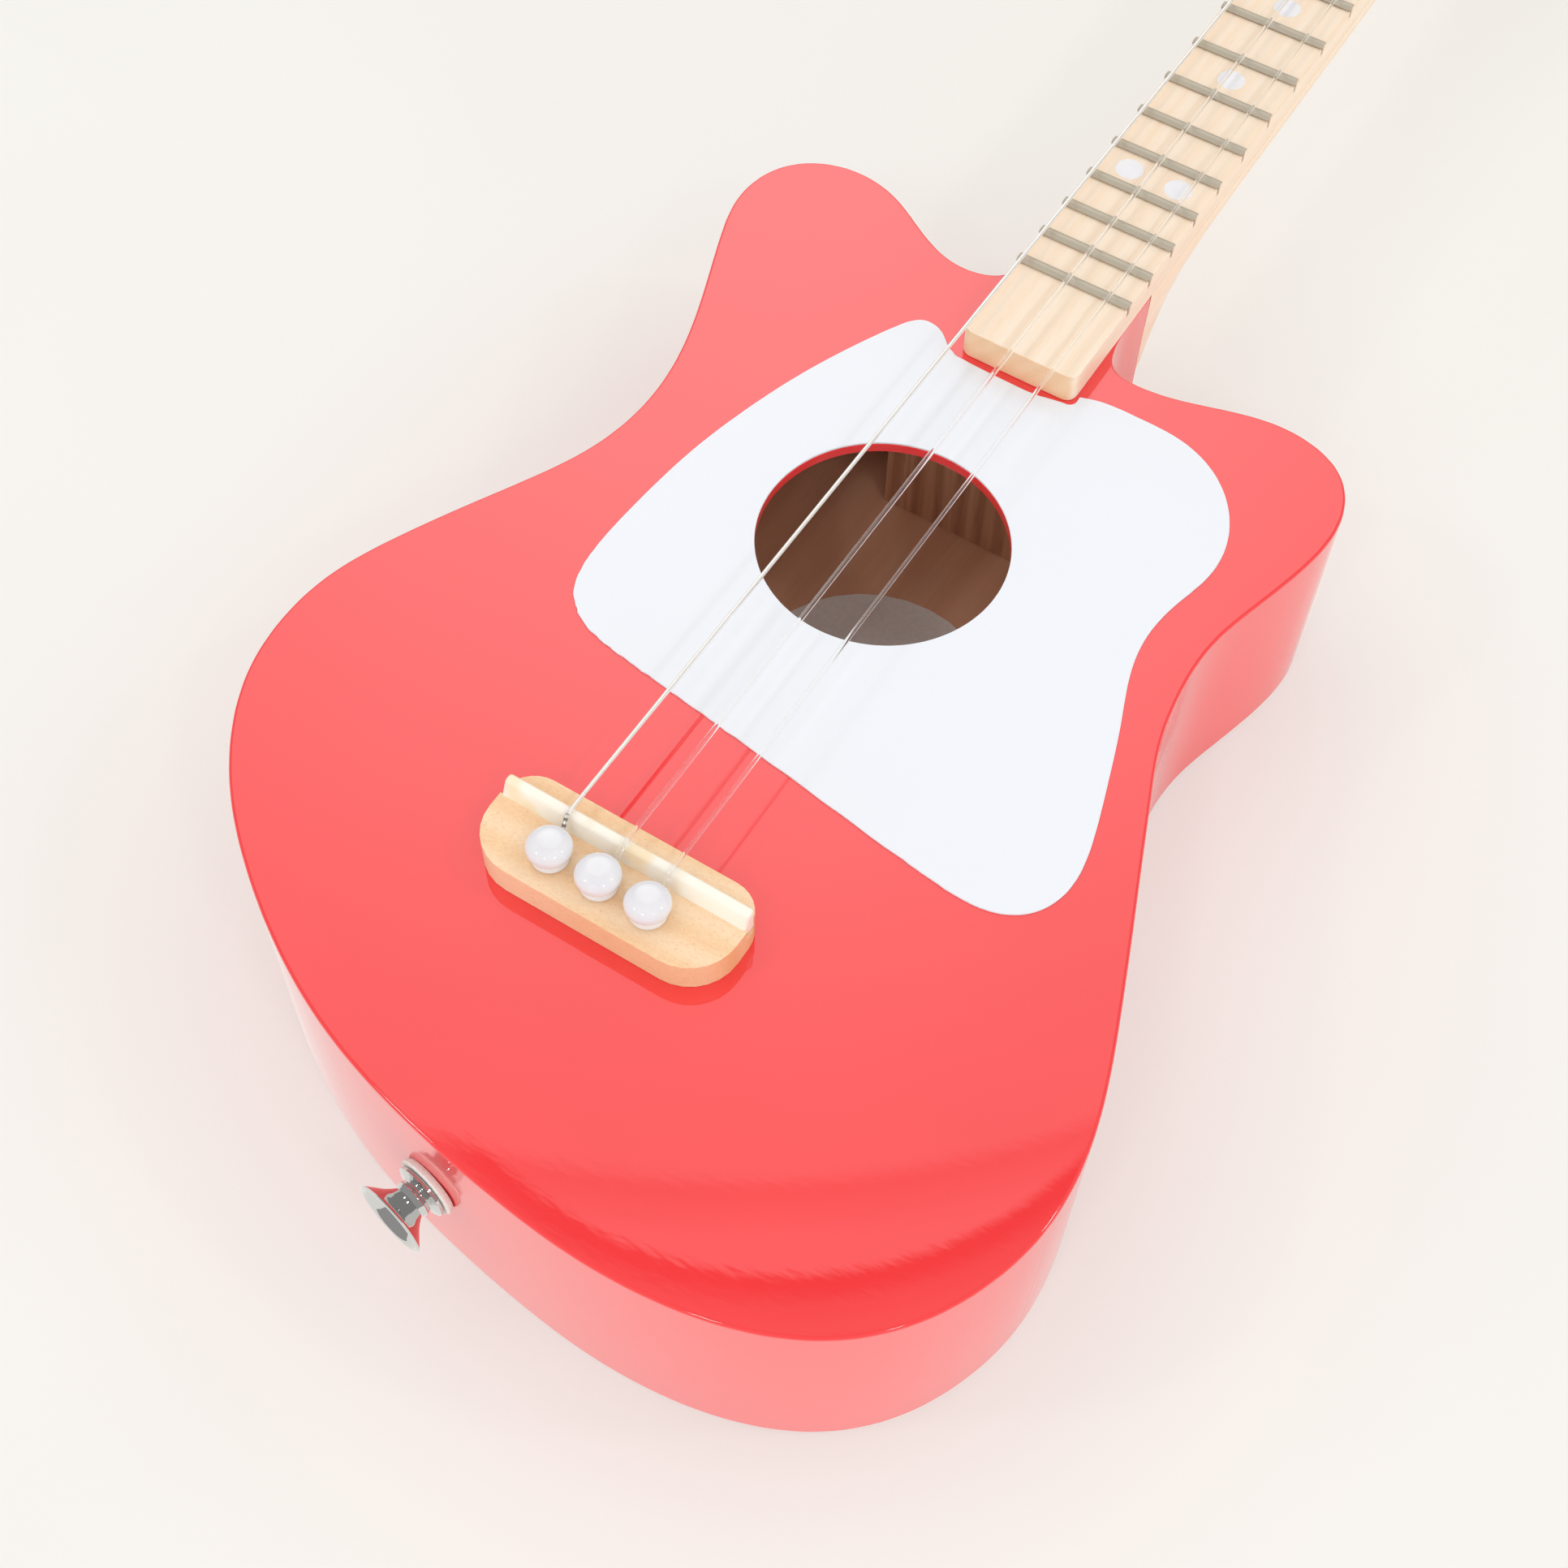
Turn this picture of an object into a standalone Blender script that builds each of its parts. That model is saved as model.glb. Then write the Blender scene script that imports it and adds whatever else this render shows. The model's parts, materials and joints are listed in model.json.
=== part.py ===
"""Mini acoustic guitar: a hollow body, a short fretted neck and three geared tuners.

Origin: on the back's outer face, on the centreline, straight under the saddle line.
+X points to the treble side, +Y to the headstock and +Z out of the soundboard. Metres.
"""
import bpy
import bmesh
import math
from mathutils import Matrix, Vector

# Clearances
GAP = 0.0003
STRING_GAP = 0.0003
WINDING_GAP = 0.0005

# Body box
BODY_DEPTH = 0.048
TOP_THICKNESS = 0.0022
BACK_THICKNESS = 0.0022
SIDE_THICKNESS = 0.0030
BODY_EDGE_CHAMFER = 0.0010
SOUNDHOLE_X = -0.0007
SOUNDHOLE_FROM_JOINT = 0.0852
SOUNDHOLE_RADIUS = 0.0245
NECK_STUB_LENGTH = 0.0055

# Inside the body
LINING_WIDTH = 0.0050
LINING_HEIGHT = 0.0060
NECK_BLOCK_LENGTH = 0.0426
NECK_BLOCK_WIDTH = 0.0460
TAIL_BLOCK_WIDTH = 0.0400
TAIL_BLOCK_THICKNESS = 0.0120
BRACE_WIDTH = 0.0060
BRACE_HEIGHT = 0.0080
UPPER_BRACE_PAST_HOLE = 0.0337
LOWER_BRACE_BEFORE_HOLE = 0.0338
BACK_BRACE_BEFORE_HOLE = 0.0488
BRIDGE_PLATE_THICKNESS = 0.0020
BRIDGE_PLATE_MARGIN = 0.0030
LABEL_RADIUS = 0.0265
LABEL_X = 0.0006
LABEL_BEFORE_HOLE = 0.0048
LABEL_THICKNESS = 0.0004

# Pickguard
PICKGUARD_THICKNESS = 0.0007

# Neck, fretboard and nut
SCALE_LENGTH = 0.375
COMPENSATION = 0.0025
FRET_COUNT = 15
NECK_JOINT_Y = 0.1720
NECK_JOINT_HALF_WIDTH = 0.0127
FRETBOARD_OVER_BODY = 0.0350
FRETBOARD_HALF_WIDTH_END = 0.01286
FRETBOARD_HALF_WIDTH_NUT = 0.01181
FRETBOARD_THICKNESS = 0.0066
FRETBOARD_CORNER_RADIUS = 0.0024
PICKGUARD_MARGIN = 0.0016
FRET_WIDTH = 0.0024
FRET_CROWN = 0.0011
FRET_TANG_DEPTH = 0.0022
FRET_TANG_WIDTH = 0.0006
NUT_THICKNESS = 0.0045
NUT_HEIGHT = 0.0096
NUT_SLOT_HEIGHT = 0.0083
NECK_DEPTH = 0.0105
NECK_EDGE = 0.0015
HEEL_DEPTH = 0.0380
HEEL_LENGTH = 0.0480
HEAD_TRANSITION = 0.0105

# Headstock
HEAD_DROP = 0.0040
HEAD_THICKNESS = 0.0110
HEAD_LENGTH = 0.0800
HEAD_HALF_WIDTH = 0.0250

# Bridge and saddle
BRIDGE_X = -0.0003
BRIDGE_LENGTH = 0.0509
BRIDGE_FRONT_Y = 0.0057
BRIDGE_BACK_Y = -0.0139
BRIDGE_HEIGHT = 0.00685
BRIDGE_FRONT_CORNER = 0.0065
BRIDGE_BACK_CORNER = 0.0095
SADDLE_LENGTH = 0.0502
SADDLE_FRONT_Y = 0.0016
SADDLE_TOP_WIDTH = 0.0019
SADDLE_BASE_WIDTH = 0.0032
SADDLE_TOP = 0.0099
SADDLE_SLOT_DEPTH = 0.0030

# Bridge pins
PIN_X = -0.0008
PIN_Y = -0.0074
PIN_SPACING = 0.01005
PIN_HEAD_RADIUS = 0.0043
PIN_HEAD_CENTRE = 0.0036
PIN_COLLAR_RADIUS = 0.0033
PIN_SHANK_RADIUS = 0.0024
PIN_TIP_RADIUS = 0.0020
PIN_HOLE_RADIUS = 0.0029
PIN_TIP_BELOW_PLATE = 0.0025

# Strings, from bass to treble
STRING_NAMES = ("bass", "middle", "treble")
STRING_RADII = (0.0004, 0.0005, 0.0004)
STRING_SADDLE_X = (-0.0119, -0.0004, 0.0092)
STRING_NUT_X = (-0.0098, -0.0003, 0.0083)
STRING_IN_HOLE = 0.0020
BALL_RADIUS = 0.0017

# Tuners
TUNER_SIDES = (-1, -1, 1)
TUNER_PAST_NUT = (0.0230, 0.0540, 0.0230)
TUNER_X = 0.0125
POST_RADIUS = 0.0030
POST_WAIST_RADIUS = 0.0025
POST_LOWER_RADIUS = 0.0022
POST_END_RADIUS = 0.0016
POST_TOP = 0.0112
POST_BORE_CLEARANCE = 0.0010
WRAP_Z = 0.0040
WRAP_ANGLE = math.radians(300)
WINDING_LIFT = 0.0010
WINDING_TURNS = 2
GEAR_TEETH = 14
GEAR_PITCH_RADIUS = 0.0042
GEAR_THICKNESS = 0.0030
GEAR_DROP = 0.0030
GEAR_ROOT_RADIUS = 0.0034
GEAR_TIP_RADIUS = 0.0046
WORM_HELIX_RADIUS = 0.0019
WORM_PITCH_RADIUS = 0.0022
WORM_THREAD_RADIUS = 0.00050
WORM_CORE_RADIUS = 0.0015
WORM_TURNS = 3.5
PLATE_THICKNESS = 0.0012
PLATE_LENGTH = 0.0145
PLATE_WIDTH = 0.0170
PLATE_BEHIND_POST = 0.0060
LUG_THICKNESS = 0.0014
LUG_INSET = 0.0003
LUG_HALF_WIDTH = 0.0032
LUG_BELOW_SHAFT = 0.0030
SHAFT_PAST_PLATE = 0.0006
SHAFT_IN_BUTTON = 0.0020
BUTTON_DISTANCE = 0.0345
BUTTON_LENGTH = 0.0130
BUTTON_WIDTH = 0.0140
BUTTON_THICKNESS = 0.0060
BUTTON_BOSS_RADIUS = 0.0026
BUTTON_BOSS_LENGTH = 0.0020
STRING_EYE_RADIUS = 0.0008
STRING_EYE_BELOW_TOP = 0.0030

# Strap button
STRAP_BUTTON_X = -0.0022
STRAP_BUTTON_HEIGHT = 0.0262
STRAP_FLARE_RADIUS = 0.0073
STRAP_FLARE_LENGTH = 0.0046
STRAP_NECK_RADIUS = 0.0032
STRAP_BASE_RADIUS = 0.0048
STRAP_BUTTON_LENGTH = 0.0077
STRAP_RECESS_DEPTH = 0.0040
STRAP_SCREW_RADIUS = 0.0014
STRAP_SCREW_LENGTH = 0.0175
WASHER_RADIUS = 0.0060
WASHER_THICKNESS = 0.0010

# How far a cutter runs past the face it leaves
PAST_FACE = 0.0010

TOP_Z = BODY_DEPTH
INNER_TOP_Z = BODY_DEPTH - TOP_THICKNESS - GAP
INNER_BACK_Z = BACK_THICKNESS + GAP
SOUNDHOLE_Y = NECK_JOINT_Y - SOUNDHOLE_FROM_JOINT
NECK_BLOCK_FRONT = NECK_JOINT_Y - NECK_BLOCK_LENGTH
FRETBOARD_END_Y = NECK_JOINT_Y - FRETBOARD_OVER_BODY
NUT_Y = SCALE_LENGTH + COMPENSATION
NUT_FAR_Y = NUT_Y + NUT_THICKNESS
HEAD_FACE_Z = TOP_Z - HEAD_DROP
HEAD_BACK_Z = HEAD_FACE_Z - HEAD_THICKNESS
PLATE_LOW_Z = HEAD_BACK_Z - GAP - PLATE_THICKNESS
GEAR_Z = PLATE_LOW_Z - GEAR_DROP
CENTRE_DISTANCE = GEAR_PITCH_RADIUS + WORM_PITCH_RADIUS
WORM_LEAD = 2 * math.pi * GEAR_PITCH_RADIUS / GEAR_TEETH

# Points to each span of the body outline
OUTLINE_STEPS = 2

# Body outline from the neck joint round the treble side, the tail and the bass side,
# measured from the centre of the joint
TREBLE_SIDE = [
    (0.0128, -0.0130), (0.0148, -0.0205), (0.0204, -0.0229), (0.0298, -0.0219),
    (0.0408, -0.0187), (0.0515, -0.0170), (0.0614, -0.0191), (0.0681, -0.0249),
    (0.0710, -0.0342), (0.0700, -0.0457), (0.0665, -0.0589), (0.0634, -0.0709),
    (0.0629, -0.0830), (0.0649, -0.0965), (0.0691, -0.1088), (0.0741, -0.1220),
    (0.0792, -0.1353), (0.0842, -0.1487), (0.0886, -0.1615), (0.0918, -0.1750),
    (0.0923, -0.1890), (0.0892, -0.2019), (0.0829, -0.2137), (0.0730, -0.2234),
    (0.0601, -0.2298), (0.0456, -0.2331), (0.0300, -0.2339), (0.0140, -0.2326),
]
BASS_SIDE = [
    (-0.0020, -0.2301), (-0.0170, -0.2266), (-0.0311, -0.2216), (-0.0449, -0.2145),
    (-0.0575, -0.2060), (-0.0686, -0.1964), (-0.0775, -0.1852), (-0.0835, -0.1724),
    (-0.0854, -0.1587), (-0.0837, -0.1460), (-0.0789, -0.1335), (-0.0730, -0.1213),
    (-0.0668, -0.1093), (-0.0613, -0.0968), (-0.0587, -0.0839), (-0.0592, -0.0711),
    (-0.0623, -0.0581), (-0.0669, -0.0452), (-0.0714, -0.0332), (-0.0742, -0.0220),
    (-0.0725, -0.0116), (-0.0661, -0.0045), (-0.0565, -0.0018), (-0.0464, -0.0038),
    (-0.0375, -0.0088), (-0.0289, -0.0130), (-0.0216, -0.0136), (-0.0161, -0.0111),
]

# Pickguard outline, clockwise from its bass end beside the fretboard, measured alike
PICKGUARD_OUTLINE = [
    (-0.0232, -0.0318), (-0.0185, -0.0324), (-0.0150, -0.0354), (-0.0100, -0.0367),
    (0.0000, -0.0370), (0.0070, -0.0367), (0.0118, -0.0345), (0.0170, -0.0316),
    (0.0260, -0.0311), (0.0350, -0.0316), (0.0435, -0.0348), (0.0505, -0.0412),
    (0.0547, -0.0498), (0.0553, -0.0590), (0.0532, -0.0680), (0.0520, -0.0775),
    (0.0535, -0.0875), (0.0573, -0.0985), (0.0608, -0.1095), (0.0640, -0.1205),
    (0.0657, -0.1315), (0.0628, -0.1402), (0.0555, -0.1445), (0.0450, -0.1445),
    (0.0300, -0.1424), (0.0100, -0.1395), (-0.0100, -0.1367), (-0.0270, -0.1344),
    (-0.0375, -0.1318), (-0.0438, -0.1258), (-0.0457, -0.1160), (-0.0453, -0.1030),
    (-0.0438, -0.0880), (-0.0410, -0.0740), (-0.0370, -0.0600), (-0.0320, -0.0470),
    (-0.0270, -0.0365),
]

# Right half of the headstock, measured from the nut's far side, in shares of its size
HEAD_HALF = [
    (0.47, 0.000), (0.48, 0.060), (0.62, 0.125), (0.88, 0.190), (1.00, 0.290),
    (1.00, 0.430), (0.97, 0.600), (0.93, 0.760), (0.80, 0.900), (0.52, 0.980),
    (0.18, 1.000),
]

# Heel, as shares of its length and of its depth below the neck, with its squareness
HEEL_CURVE = [
    (0.000, 1.000, 0.55), (0.073, 0.945, 0.58), (0.135, 0.673, 0.62), (0.219, 0.400, 0.68),
    (0.354, 0.182, 0.75), (0.583, 0.055, 0.82), (1.000, 0.000, 0.85),
]

# Run of the neck into the head: share of its length, of the head's drop and of the depth
HEAD_CURVE = [
    (-1.143, 0.00, 0.00, 0.80), (-0.381, 0.00, 0.22, 0.70), (0.095, 0.00, 0.66, 0.62),
    (0.333, 0.40, 0.86, 0.55), (0.667, 0.85, 0.64, 0.50), (1.000, 1.10, 0.78, 0.50),
]

# Colours as linear red, green and blue
RED = (0.86, 0.06, 0.07)
WHITE = (0.86, 0.87, 0.88)
MAPLE = (0.80, 0.62, 0.40)
PALE_MAPLE = (0.86, 0.72, 0.52)
PINE = (0.55, 0.33, 0.18)
IVORY = (0.86, 0.82, 0.70)
NICKEL = (0.62, 0.60, 0.56)
CHROME = (0.80, 0.80, 0.80)
BRASS = (0.70, 0.52, 0.25)
NYLON = (0.85, 0.85, 0.83)
PAPER = (0.70, 0.66, 0.60)
FELT = (0.84, 0.83, 0.80)


def clear_scene():
    for obj in list(bpy.data.objects):
        bpy.data.objects.remove(obj, do_unlink=True)


def collection(name):
    group = bpy.data.collections.get(name) or bpy.data.collections.new(name)
    if group.name not in bpy.context.scene.collection.children:
        bpy.context.scene.collection.children.link(group)
    return group


def material(name, colour, roughness, metallic=0.0):
    mat = bpy.data.materials.get(name) or bpy.data.materials.new(name)
    mat.use_nodes = True
    shader = mat.node_tree.nodes["Principled BSDF"]
    shader.inputs["Base Color"].default_value = (*colour, 1.0)
    shader.inputs["Roughness"].default_value = roughness
    shader.inputs["Metallic"].default_value = metallic
    return mat


def add_object(name, data, finish=None):
    """Link a mesh or curve as a part, or as a cutter when it has no finish."""
    obj = bpy.data.objects.new(name, data)
    if finish is None:
        collection("cutters").objects.link(obj)
        obj.hide_render = True
        obj.display_type = "WIRE"
    else:
        collection("mini_guitar").objects.link(obj)
        data.materials.append(material(name + "_finish", *finish))
    return obj


def smooth_curve(points, closed, steps):
    """Cubic B-spline whose control points are moved so that it passes the points."""
    count = len(points)
    goal = [Vector(p) for p in points]

    def at(controls, i):
        if closed:
            return controls[i % count]
        if i < 0:
            return controls[0] * 2 - controls[1]
        if i >= count:
            return controls[-1] * 2 - controls[-2]
        return controls[i]

    control = list(goal)
    for _ in range(6):
        shown = [(at(control, i - 1) + at(control, i) * 4 + at(control, i + 1)) / 6
                 for i in range(count)]
        control = [control[i] + goal[i] - shown[i] for i in range(count)]
    out = []
    for i in range(count if closed else count - 1):
        for step in range(steps):
            t = step / steps
            weights = ((1 - t) ** 3, 3 * t ** 3 - 6 * t ** 2 + 4,
                       -3 * t ** 3 + 3 * t ** 2 + 3 * t + 1, t ** 3)
            total = sum((at(control, i - 1 + k) * w for k, w in enumerate(weights)),
                        goal[0] * 0)
            out.append(total / 6)
    if not closed:
        out.append(goal[-1])
    return out


def from_joint(points):
    return [(x, NECK_JOINT_Y + y) for x, y in points]


def body_outline():
    """Closed outline, clockwise seen from above, with the square neck end."""
    wall = NECK_JOINT_HALF_WIDTH
    straight = -NECK_STUB_LENGTH
    chain = from_joint([(wall, straight)] + TREBLE_SIDE + BASS_SIDE + [(-wall, straight)])
    curve = smooth_curve(chain, False, OUTLINE_STEPS)
    corner_right = Vector((wall, NECK_JOINT_Y))
    corner_left = Vector((-wall, NECK_JOINT_Y))
    return [corner_right] + curve + [corner_left]


def offset_loop(points, distance):
    """Move a clockwise loop inwards by a distance."""
    out = []
    count = len(points)
    for i, point in enumerate(points):
        before = (point - points[i - 1]).normalized()
        after = (points[(i + 1) % count] - point).normalized()
        side = Vector((before.y + after.y, -before.x - after.x))
        side.normalize()
        share = max(0.5, side.dot(Vector((before.y, -before.x))))
        out.append(point + side * distance / share)
    return out


def circle(x, y, radius, count=32):
    return [Vector((x + radius * math.cos(2 * math.pi * k / count),
                    y + radius * math.sin(2 * math.pi * k / count)))
            for k in range(count)]


def flat_mesh(name, loops, low, high):
    """Mesh of a flat outline, with holes, between two heights."""
    curve = bpy.data.curves.new(name, "CURVE")
    curve.dimensions = "2D"
    curve.fill_mode = "BOTH"
    curve.extrude = (high - low) / 2
    for loop in loops:
        spline = curve.splines.new("POLY")
        spline.points.add(len(loop) - 1)
        spline.use_cyclic_u = True
        for target, point in zip(spline.points, loop):
            target.co = (point[0], point[1], 0, 1)
    obj = bpy.data.objects.new(name, curve)
    bpy.context.scene.collection.objects.link(obj)
    graph = bpy.context.evaluated_depsgraph_get()
    mesh = bpy.data.meshes.new_from_object(obj.evaluated_get(graph))
    bpy.data.objects.remove(obj, do_unlink=True)
    bm = bmesh.new()
    bm.from_mesh(mesh)
    bmesh.ops.remove_doubles(bm, verts=bm.verts, dist=1e-6)
    bmesh.ops.translate(bm, verts=bm.verts, vec=(0, 0, (low + high) / 2))
    if len(loops) == 1:
        bmesh.ops.dissolve_limit(bm, angle_limit=0.002, verts=bm.verts, edges=bm.edges)
    bmesh.ops.recalc_face_normals(bm, faces=bm.faces)
    bm.to_mesh(mesh)
    bm.free()
    return mesh


def flat_piece(name, loops, low, high, finish=None):
    return add_object(name, flat_mesh(name, loops, low, high), finish)


def chamfer_rim(obj, height, width):
    """Chamfer the outer edge that lies at one height."""
    bm = bmesh.new()
    bm.from_mesh(obj.data)
    rim = [edge for edge in bm.edges
           if all(abs(v.co.z - height) < 1e-6 for v in edge.verts)
           and any(abs(face.normal.z) < 0.5 for face in edge.link_faces)]
    bmesh.ops.bevel(bm, geom=rim, offset=width, segments=1, profile=0.5,
                    affect="EDGES")
    bm.to_mesh(obj.data)
    bm.free()


def boolean(obj, cutter, operation="DIFFERENCE"):
    modifier = obj.modifiers.new(operation.lower() + "_" + cutter.name, "BOOLEAN")
    modifier.object = cutter
    modifier.operation = operation
    modifier.solver = "EXACT"


def box_mesh(name, low, high):
    """Axis-aligned box between two corners."""
    mesh = bpy.data.meshes.new(name)
    bm = bmesh.new()
    bmesh.ops.create_cube(bm, size=1)
    size = Vector(high) - Vector(low)
    bmesh.ops.scale(bm, verts=bm.verts, vec=size)
    bmesh.ops.translate(bm, verts=bm.verts, vec=(Vector(low) + Vector(high)) / 2)
    bm.to_mesh(mesh)
    bm.free()
    return mesh


def box(name, low, high, finish=None):
    return add_object(name, box_mesh(name, low, high), finish)


def axis_frame(place, axis, up=(0, 0, 1)):
    """Frame whose Z runs along an axis; its Y leans towards up."""
    z = Vector(axis).normalized()
    x = Vector(up).cross(z)
    if x.length < 1e-6:
        x = Vector((0, 1, 0)).cross(z)
    x.normalize()
    y = z.cross(x)
    frame = Matrix((x, y, z)).transposed().to_4x4()
    frame.translation = Vector(place)
    return frame


def turned(name, profile, frame, finish=None, steps=24):
    """Turned piece: the profile lists (radius, height) from top to bottom."""
    mesh = bpy.data.meshes.new(name)
    bm = bmesh.new()
    previous = None
    for radius, height in profile:
        vert = bm.verts.new((radius, 0, height))
        if previous:
            bm.edges.new((previous, vert))
        previous = vert
    bm.to_mesh(mesh)
    bm.free()
    obj = add_object(name, mesh, finish)
    obj.matrix_world = frame
    screw = obj.modifiers.new("turn", "SCREW")
    screw.axis = "Z"
    screw.steps = steps
    screw.render_steps = steps
    screw.use_merge_vertices = True
    screw.merge_threshold = 0.00001
    return obj


def rod(name, start, end, radius, finish=None, steps=24):
    """Plain round rod between two points."""
    way = Vector(end) - Vector(start)
    profile = [(0, way.length), (radius, way.length), (radius, 0), (0, 0)]
    return turned(name, profile, axis_frame(start, way), finish, steps)


def tube(name, points, radius, finish, resolution=2):
    """Round tube along a line of points, with flat ends."""
    curve = bpy.data.curves.new(name, "CURVE")
    curve.dimensions = "3D"
    curve.bevel_depth = radius
    curve.bevel_resolution = resolution
    curve.use_fill_caps = True
    spline = curve.splines.new("POLY")
    spline.points.add(len(points) - 1)
    for target, point in zip(spline.points, points):
        target.co = (*point, 1)
    return add_object(name, curve, finish)


def tube_mesh(name, points, radius, finish=None, resolution=2):
    """The same tube as a closed mesh, for joining and cutting."""
    curve_object = tube(name + "_curve", points, radius, None, resolution)
    graph = bpy.context.evaluated_depsgraph_get()
    mesh = bpy.data.meshes.new_from_object(curve_object.evaluated_get(graph))
    place = curve_object.matrix_world.copy()
    bpy.data.objects.remove(curve_object, do_unlink=True)
    bm = bmesh.new()
    bm.from_mesh(mesh)
    bmesh.ops.remove_doubles(bm, verts=bm.verts, dist=1e-6)
    bmesh.ops.recalc_face_normals(bm, faces=bm.faces)
    bm.to_mesh(mesh)
    bm.free()
    obj = add_object(name, mesh, finish)
    obj.matrix_world = place
    return obj


def loft(name, sections, finish=None):
    """Closed solid through equal-length rings of points."""
    mesh = bpy.data.meshes.new(name)
    bm = bmesh.new()
    rings = [[bm.verts.new(point) for point in ring] for ring in sections]
    for first, second in zip(rings, rings[1:]):
        for k in range(len(first)):
            n = (k + 1) % len(first)
            bm.faces.new((first[k], first[n], second[n], second[k]))
    bm.faces.new(rings[0])
    bm.faces.new(rings[-1])
    bmesh.ops.recalc_face_normals(bm, faces=bm.faces)
    bm.to_mesh(mesh)
    bm.free()
    return add_object(name, mesh, finish)


def build_body(outline):
    """Back, sides and soundboard, stacked with a hair of space between them."""
    back = flat_piece("back_plate", [outline], 0, BACK_THICKNESS, (RED, 0.12))
    chamfer_rim(back, 0, BODY_EDGE_CHAMFER)
    inner = offset_loop(outline, SIDE_THICKNESS)
    sides = flat_piece("body_sides", [outline, inner], INNER_BACK_Z, INNER_TOP_Z,
                       (RED, 0.12))
    top = flat_piece("soundboard", [outline], BODY_DEPTH - TOP_THICKNESS, BODY_DEPTH,
                     (RED, 0.12))
    chamfer_rim(top, BODY_DEPTH, BODY_EDGE_CHAMFER)
    hole = flat_piece("soundhole_cutter",
                      [circle(SOUNDHOLE_X, SOUNDHOLE_Y, SOUNDHOLE_RADIUS, 48)],
                      INNER_TOP_Z - GAP, BODY_DEPTH + BRIDGE_HEIGHT)
    boolean(top, hole)
    return sides, top, hole


def cavity_plate(name, outline, inset, low, high):
    return flat_piece(name, [offset_loop(outline, inset)], low, high)


def build_blocks(outline, strap_frame):
    """Neck block and tail block, both fitted to the sides' inner face."""
    reach = SIDE_THICKNESS + GAP
    cavity = cavity_plate("block_space", outline, reach, INNER_BACK_Z, INNER_TOP_Z)
    half = NECK_BLOCK_WIDTH / 2
    neck_block = box("neck_block", (-half, NECK_BLOCK_FRONT, INNER_BACK_Z - GAP),
                     (half, NECK_JOINT_Y, INNER_TOP_Z + GAP), (PINE, 0.6))
    boolean(neck_block, cavity, "INTERSECT")
    low = INNER_BACK_Z + LINING_HEIGHT + GAP
    high = INNER_TOP_Z - LINING_HEIGHT - GAP
    space = cavity_plate("tail_space", outline, reach, low, high)
    deep = TAIL_BLOCK_THICKNESS + SIDE_THICKNESS
    tail_block = box("tail_block", (-TAIL_BLOCK_WIDTH / 2, -BODY_DEPTH / 2, -deep),
                     (TAIL_BLOCK_WIDTH / 2, BODY_DEPTH / 2, deep), (PINE, 0.6))
    tail_block.matrix_world = strap_frame
    boolean(tail_block, space, "INTERSECT")
    return tail_block


def build_linings(outline):
    """Glue strips along the top and the back, open at the neck block."""
    outer = offset_loop(outline, SIDE_THICKNESS + GAP)
    inner = offset_loop(outline, SIDE_THICKNESS + GAP + LINING_WIDTH)[::2]
    half = NECK_BLOCK_WIDTH / 2 + GAP
    notch = box("lining_notch", (-half, NECK_BLOCK_FRONT - GAP, 0),
                (half, NECK_JOINT_Y + LINING_WIDTH, BODY_DEPTH))
    spans = {"back_lining": (INNER_BACK_Z, INNER_BACK_Z + LINING_HEIGHT),
             "top_lining": (INNER_TOP_Z - LINING_HEIGHT, INNER_TOP_Z)}
    for name, (low, high) in spans.items():
        lining = flat_piece(name, [outer, inner], low, high, (PINE, 0.7))
        boolean(lining, notch)


def build_braces(outline):
    """Cross braces between the linings, under the top and over the back."""
    inset = SIDE_THICKNESS + LINING_WIDTH + 2 * GAP
    reach = max(abs(point.x) for point in outline)
    top_span = (INNER_TOP_Z - BRACE_HEIGHT, INNER_TOP_Z)
    back_span = (INNER_BACK_Z, INNER_BACK_Z + BRACE_HEIGHT)
    spans = {
        "upper_top_brace": (SOUNDHOLE_Y + UPPER_BRACE_PAST_HOLE, top_span),
        "lower_top_brace": (SOUNDHOLE_Y - LOWER_BRACE_BEFORE_HOLE, top_span),
        "back_brace": (SOUNDHOLE_Y - BACK_BRACE_BEFORE_HOLE, back_span),
    }
    for name, (y, (low, high)) in spans.items():
        space = cavity_plate(name + "_space", outline, inset, low, high)
        brace = box(name, (-reach, y - BRACE_WIDTH / 2, low - GAP),
                    (reach, y + BRACE_WIDTH / 2, high + GAP), (PINE, 0.7))
        boolean(brace, space, "INTERSECT")


def build_label():
    y = SOUNDHOLE_Y - LABEL_BEFORE_HOLE
    rod("paper_label", (LABEL_X, y, INNER_BACK_Z),
        (LABEL_X, y, INNER_BACK_Z + LABEL_THICKNESS), LABEL_RADIUS, (PAPER, 0.8), 32)


def build_pickguard(soundhole):
    outline = smooth_curve(from_joint(PICKGUARD_OUTLINE), True, 2)
    guard = flat_piece("pickguard", [outline], TOP_Z + GAP,
                       TOP_Z + GAP + PICKGUARD_THICKNESS, (WHITE, 0.3))
    boolean(guard, soundhole)
    board = fretboard_outline(FRETBOARD_END_Y - PICKGUARD_MARGIN, PICKGUARD_MARGIN)
    boolean(guard, flat_piece("fretboard_space", [board], TOP_Z,
                              TOP_Z + FRETBOARD_THICKNESS))


def pin_places():
    return [(PIN_X + k * PIN_SPACING, PIN_Y) for k in (-1, 0, 1)]


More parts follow.
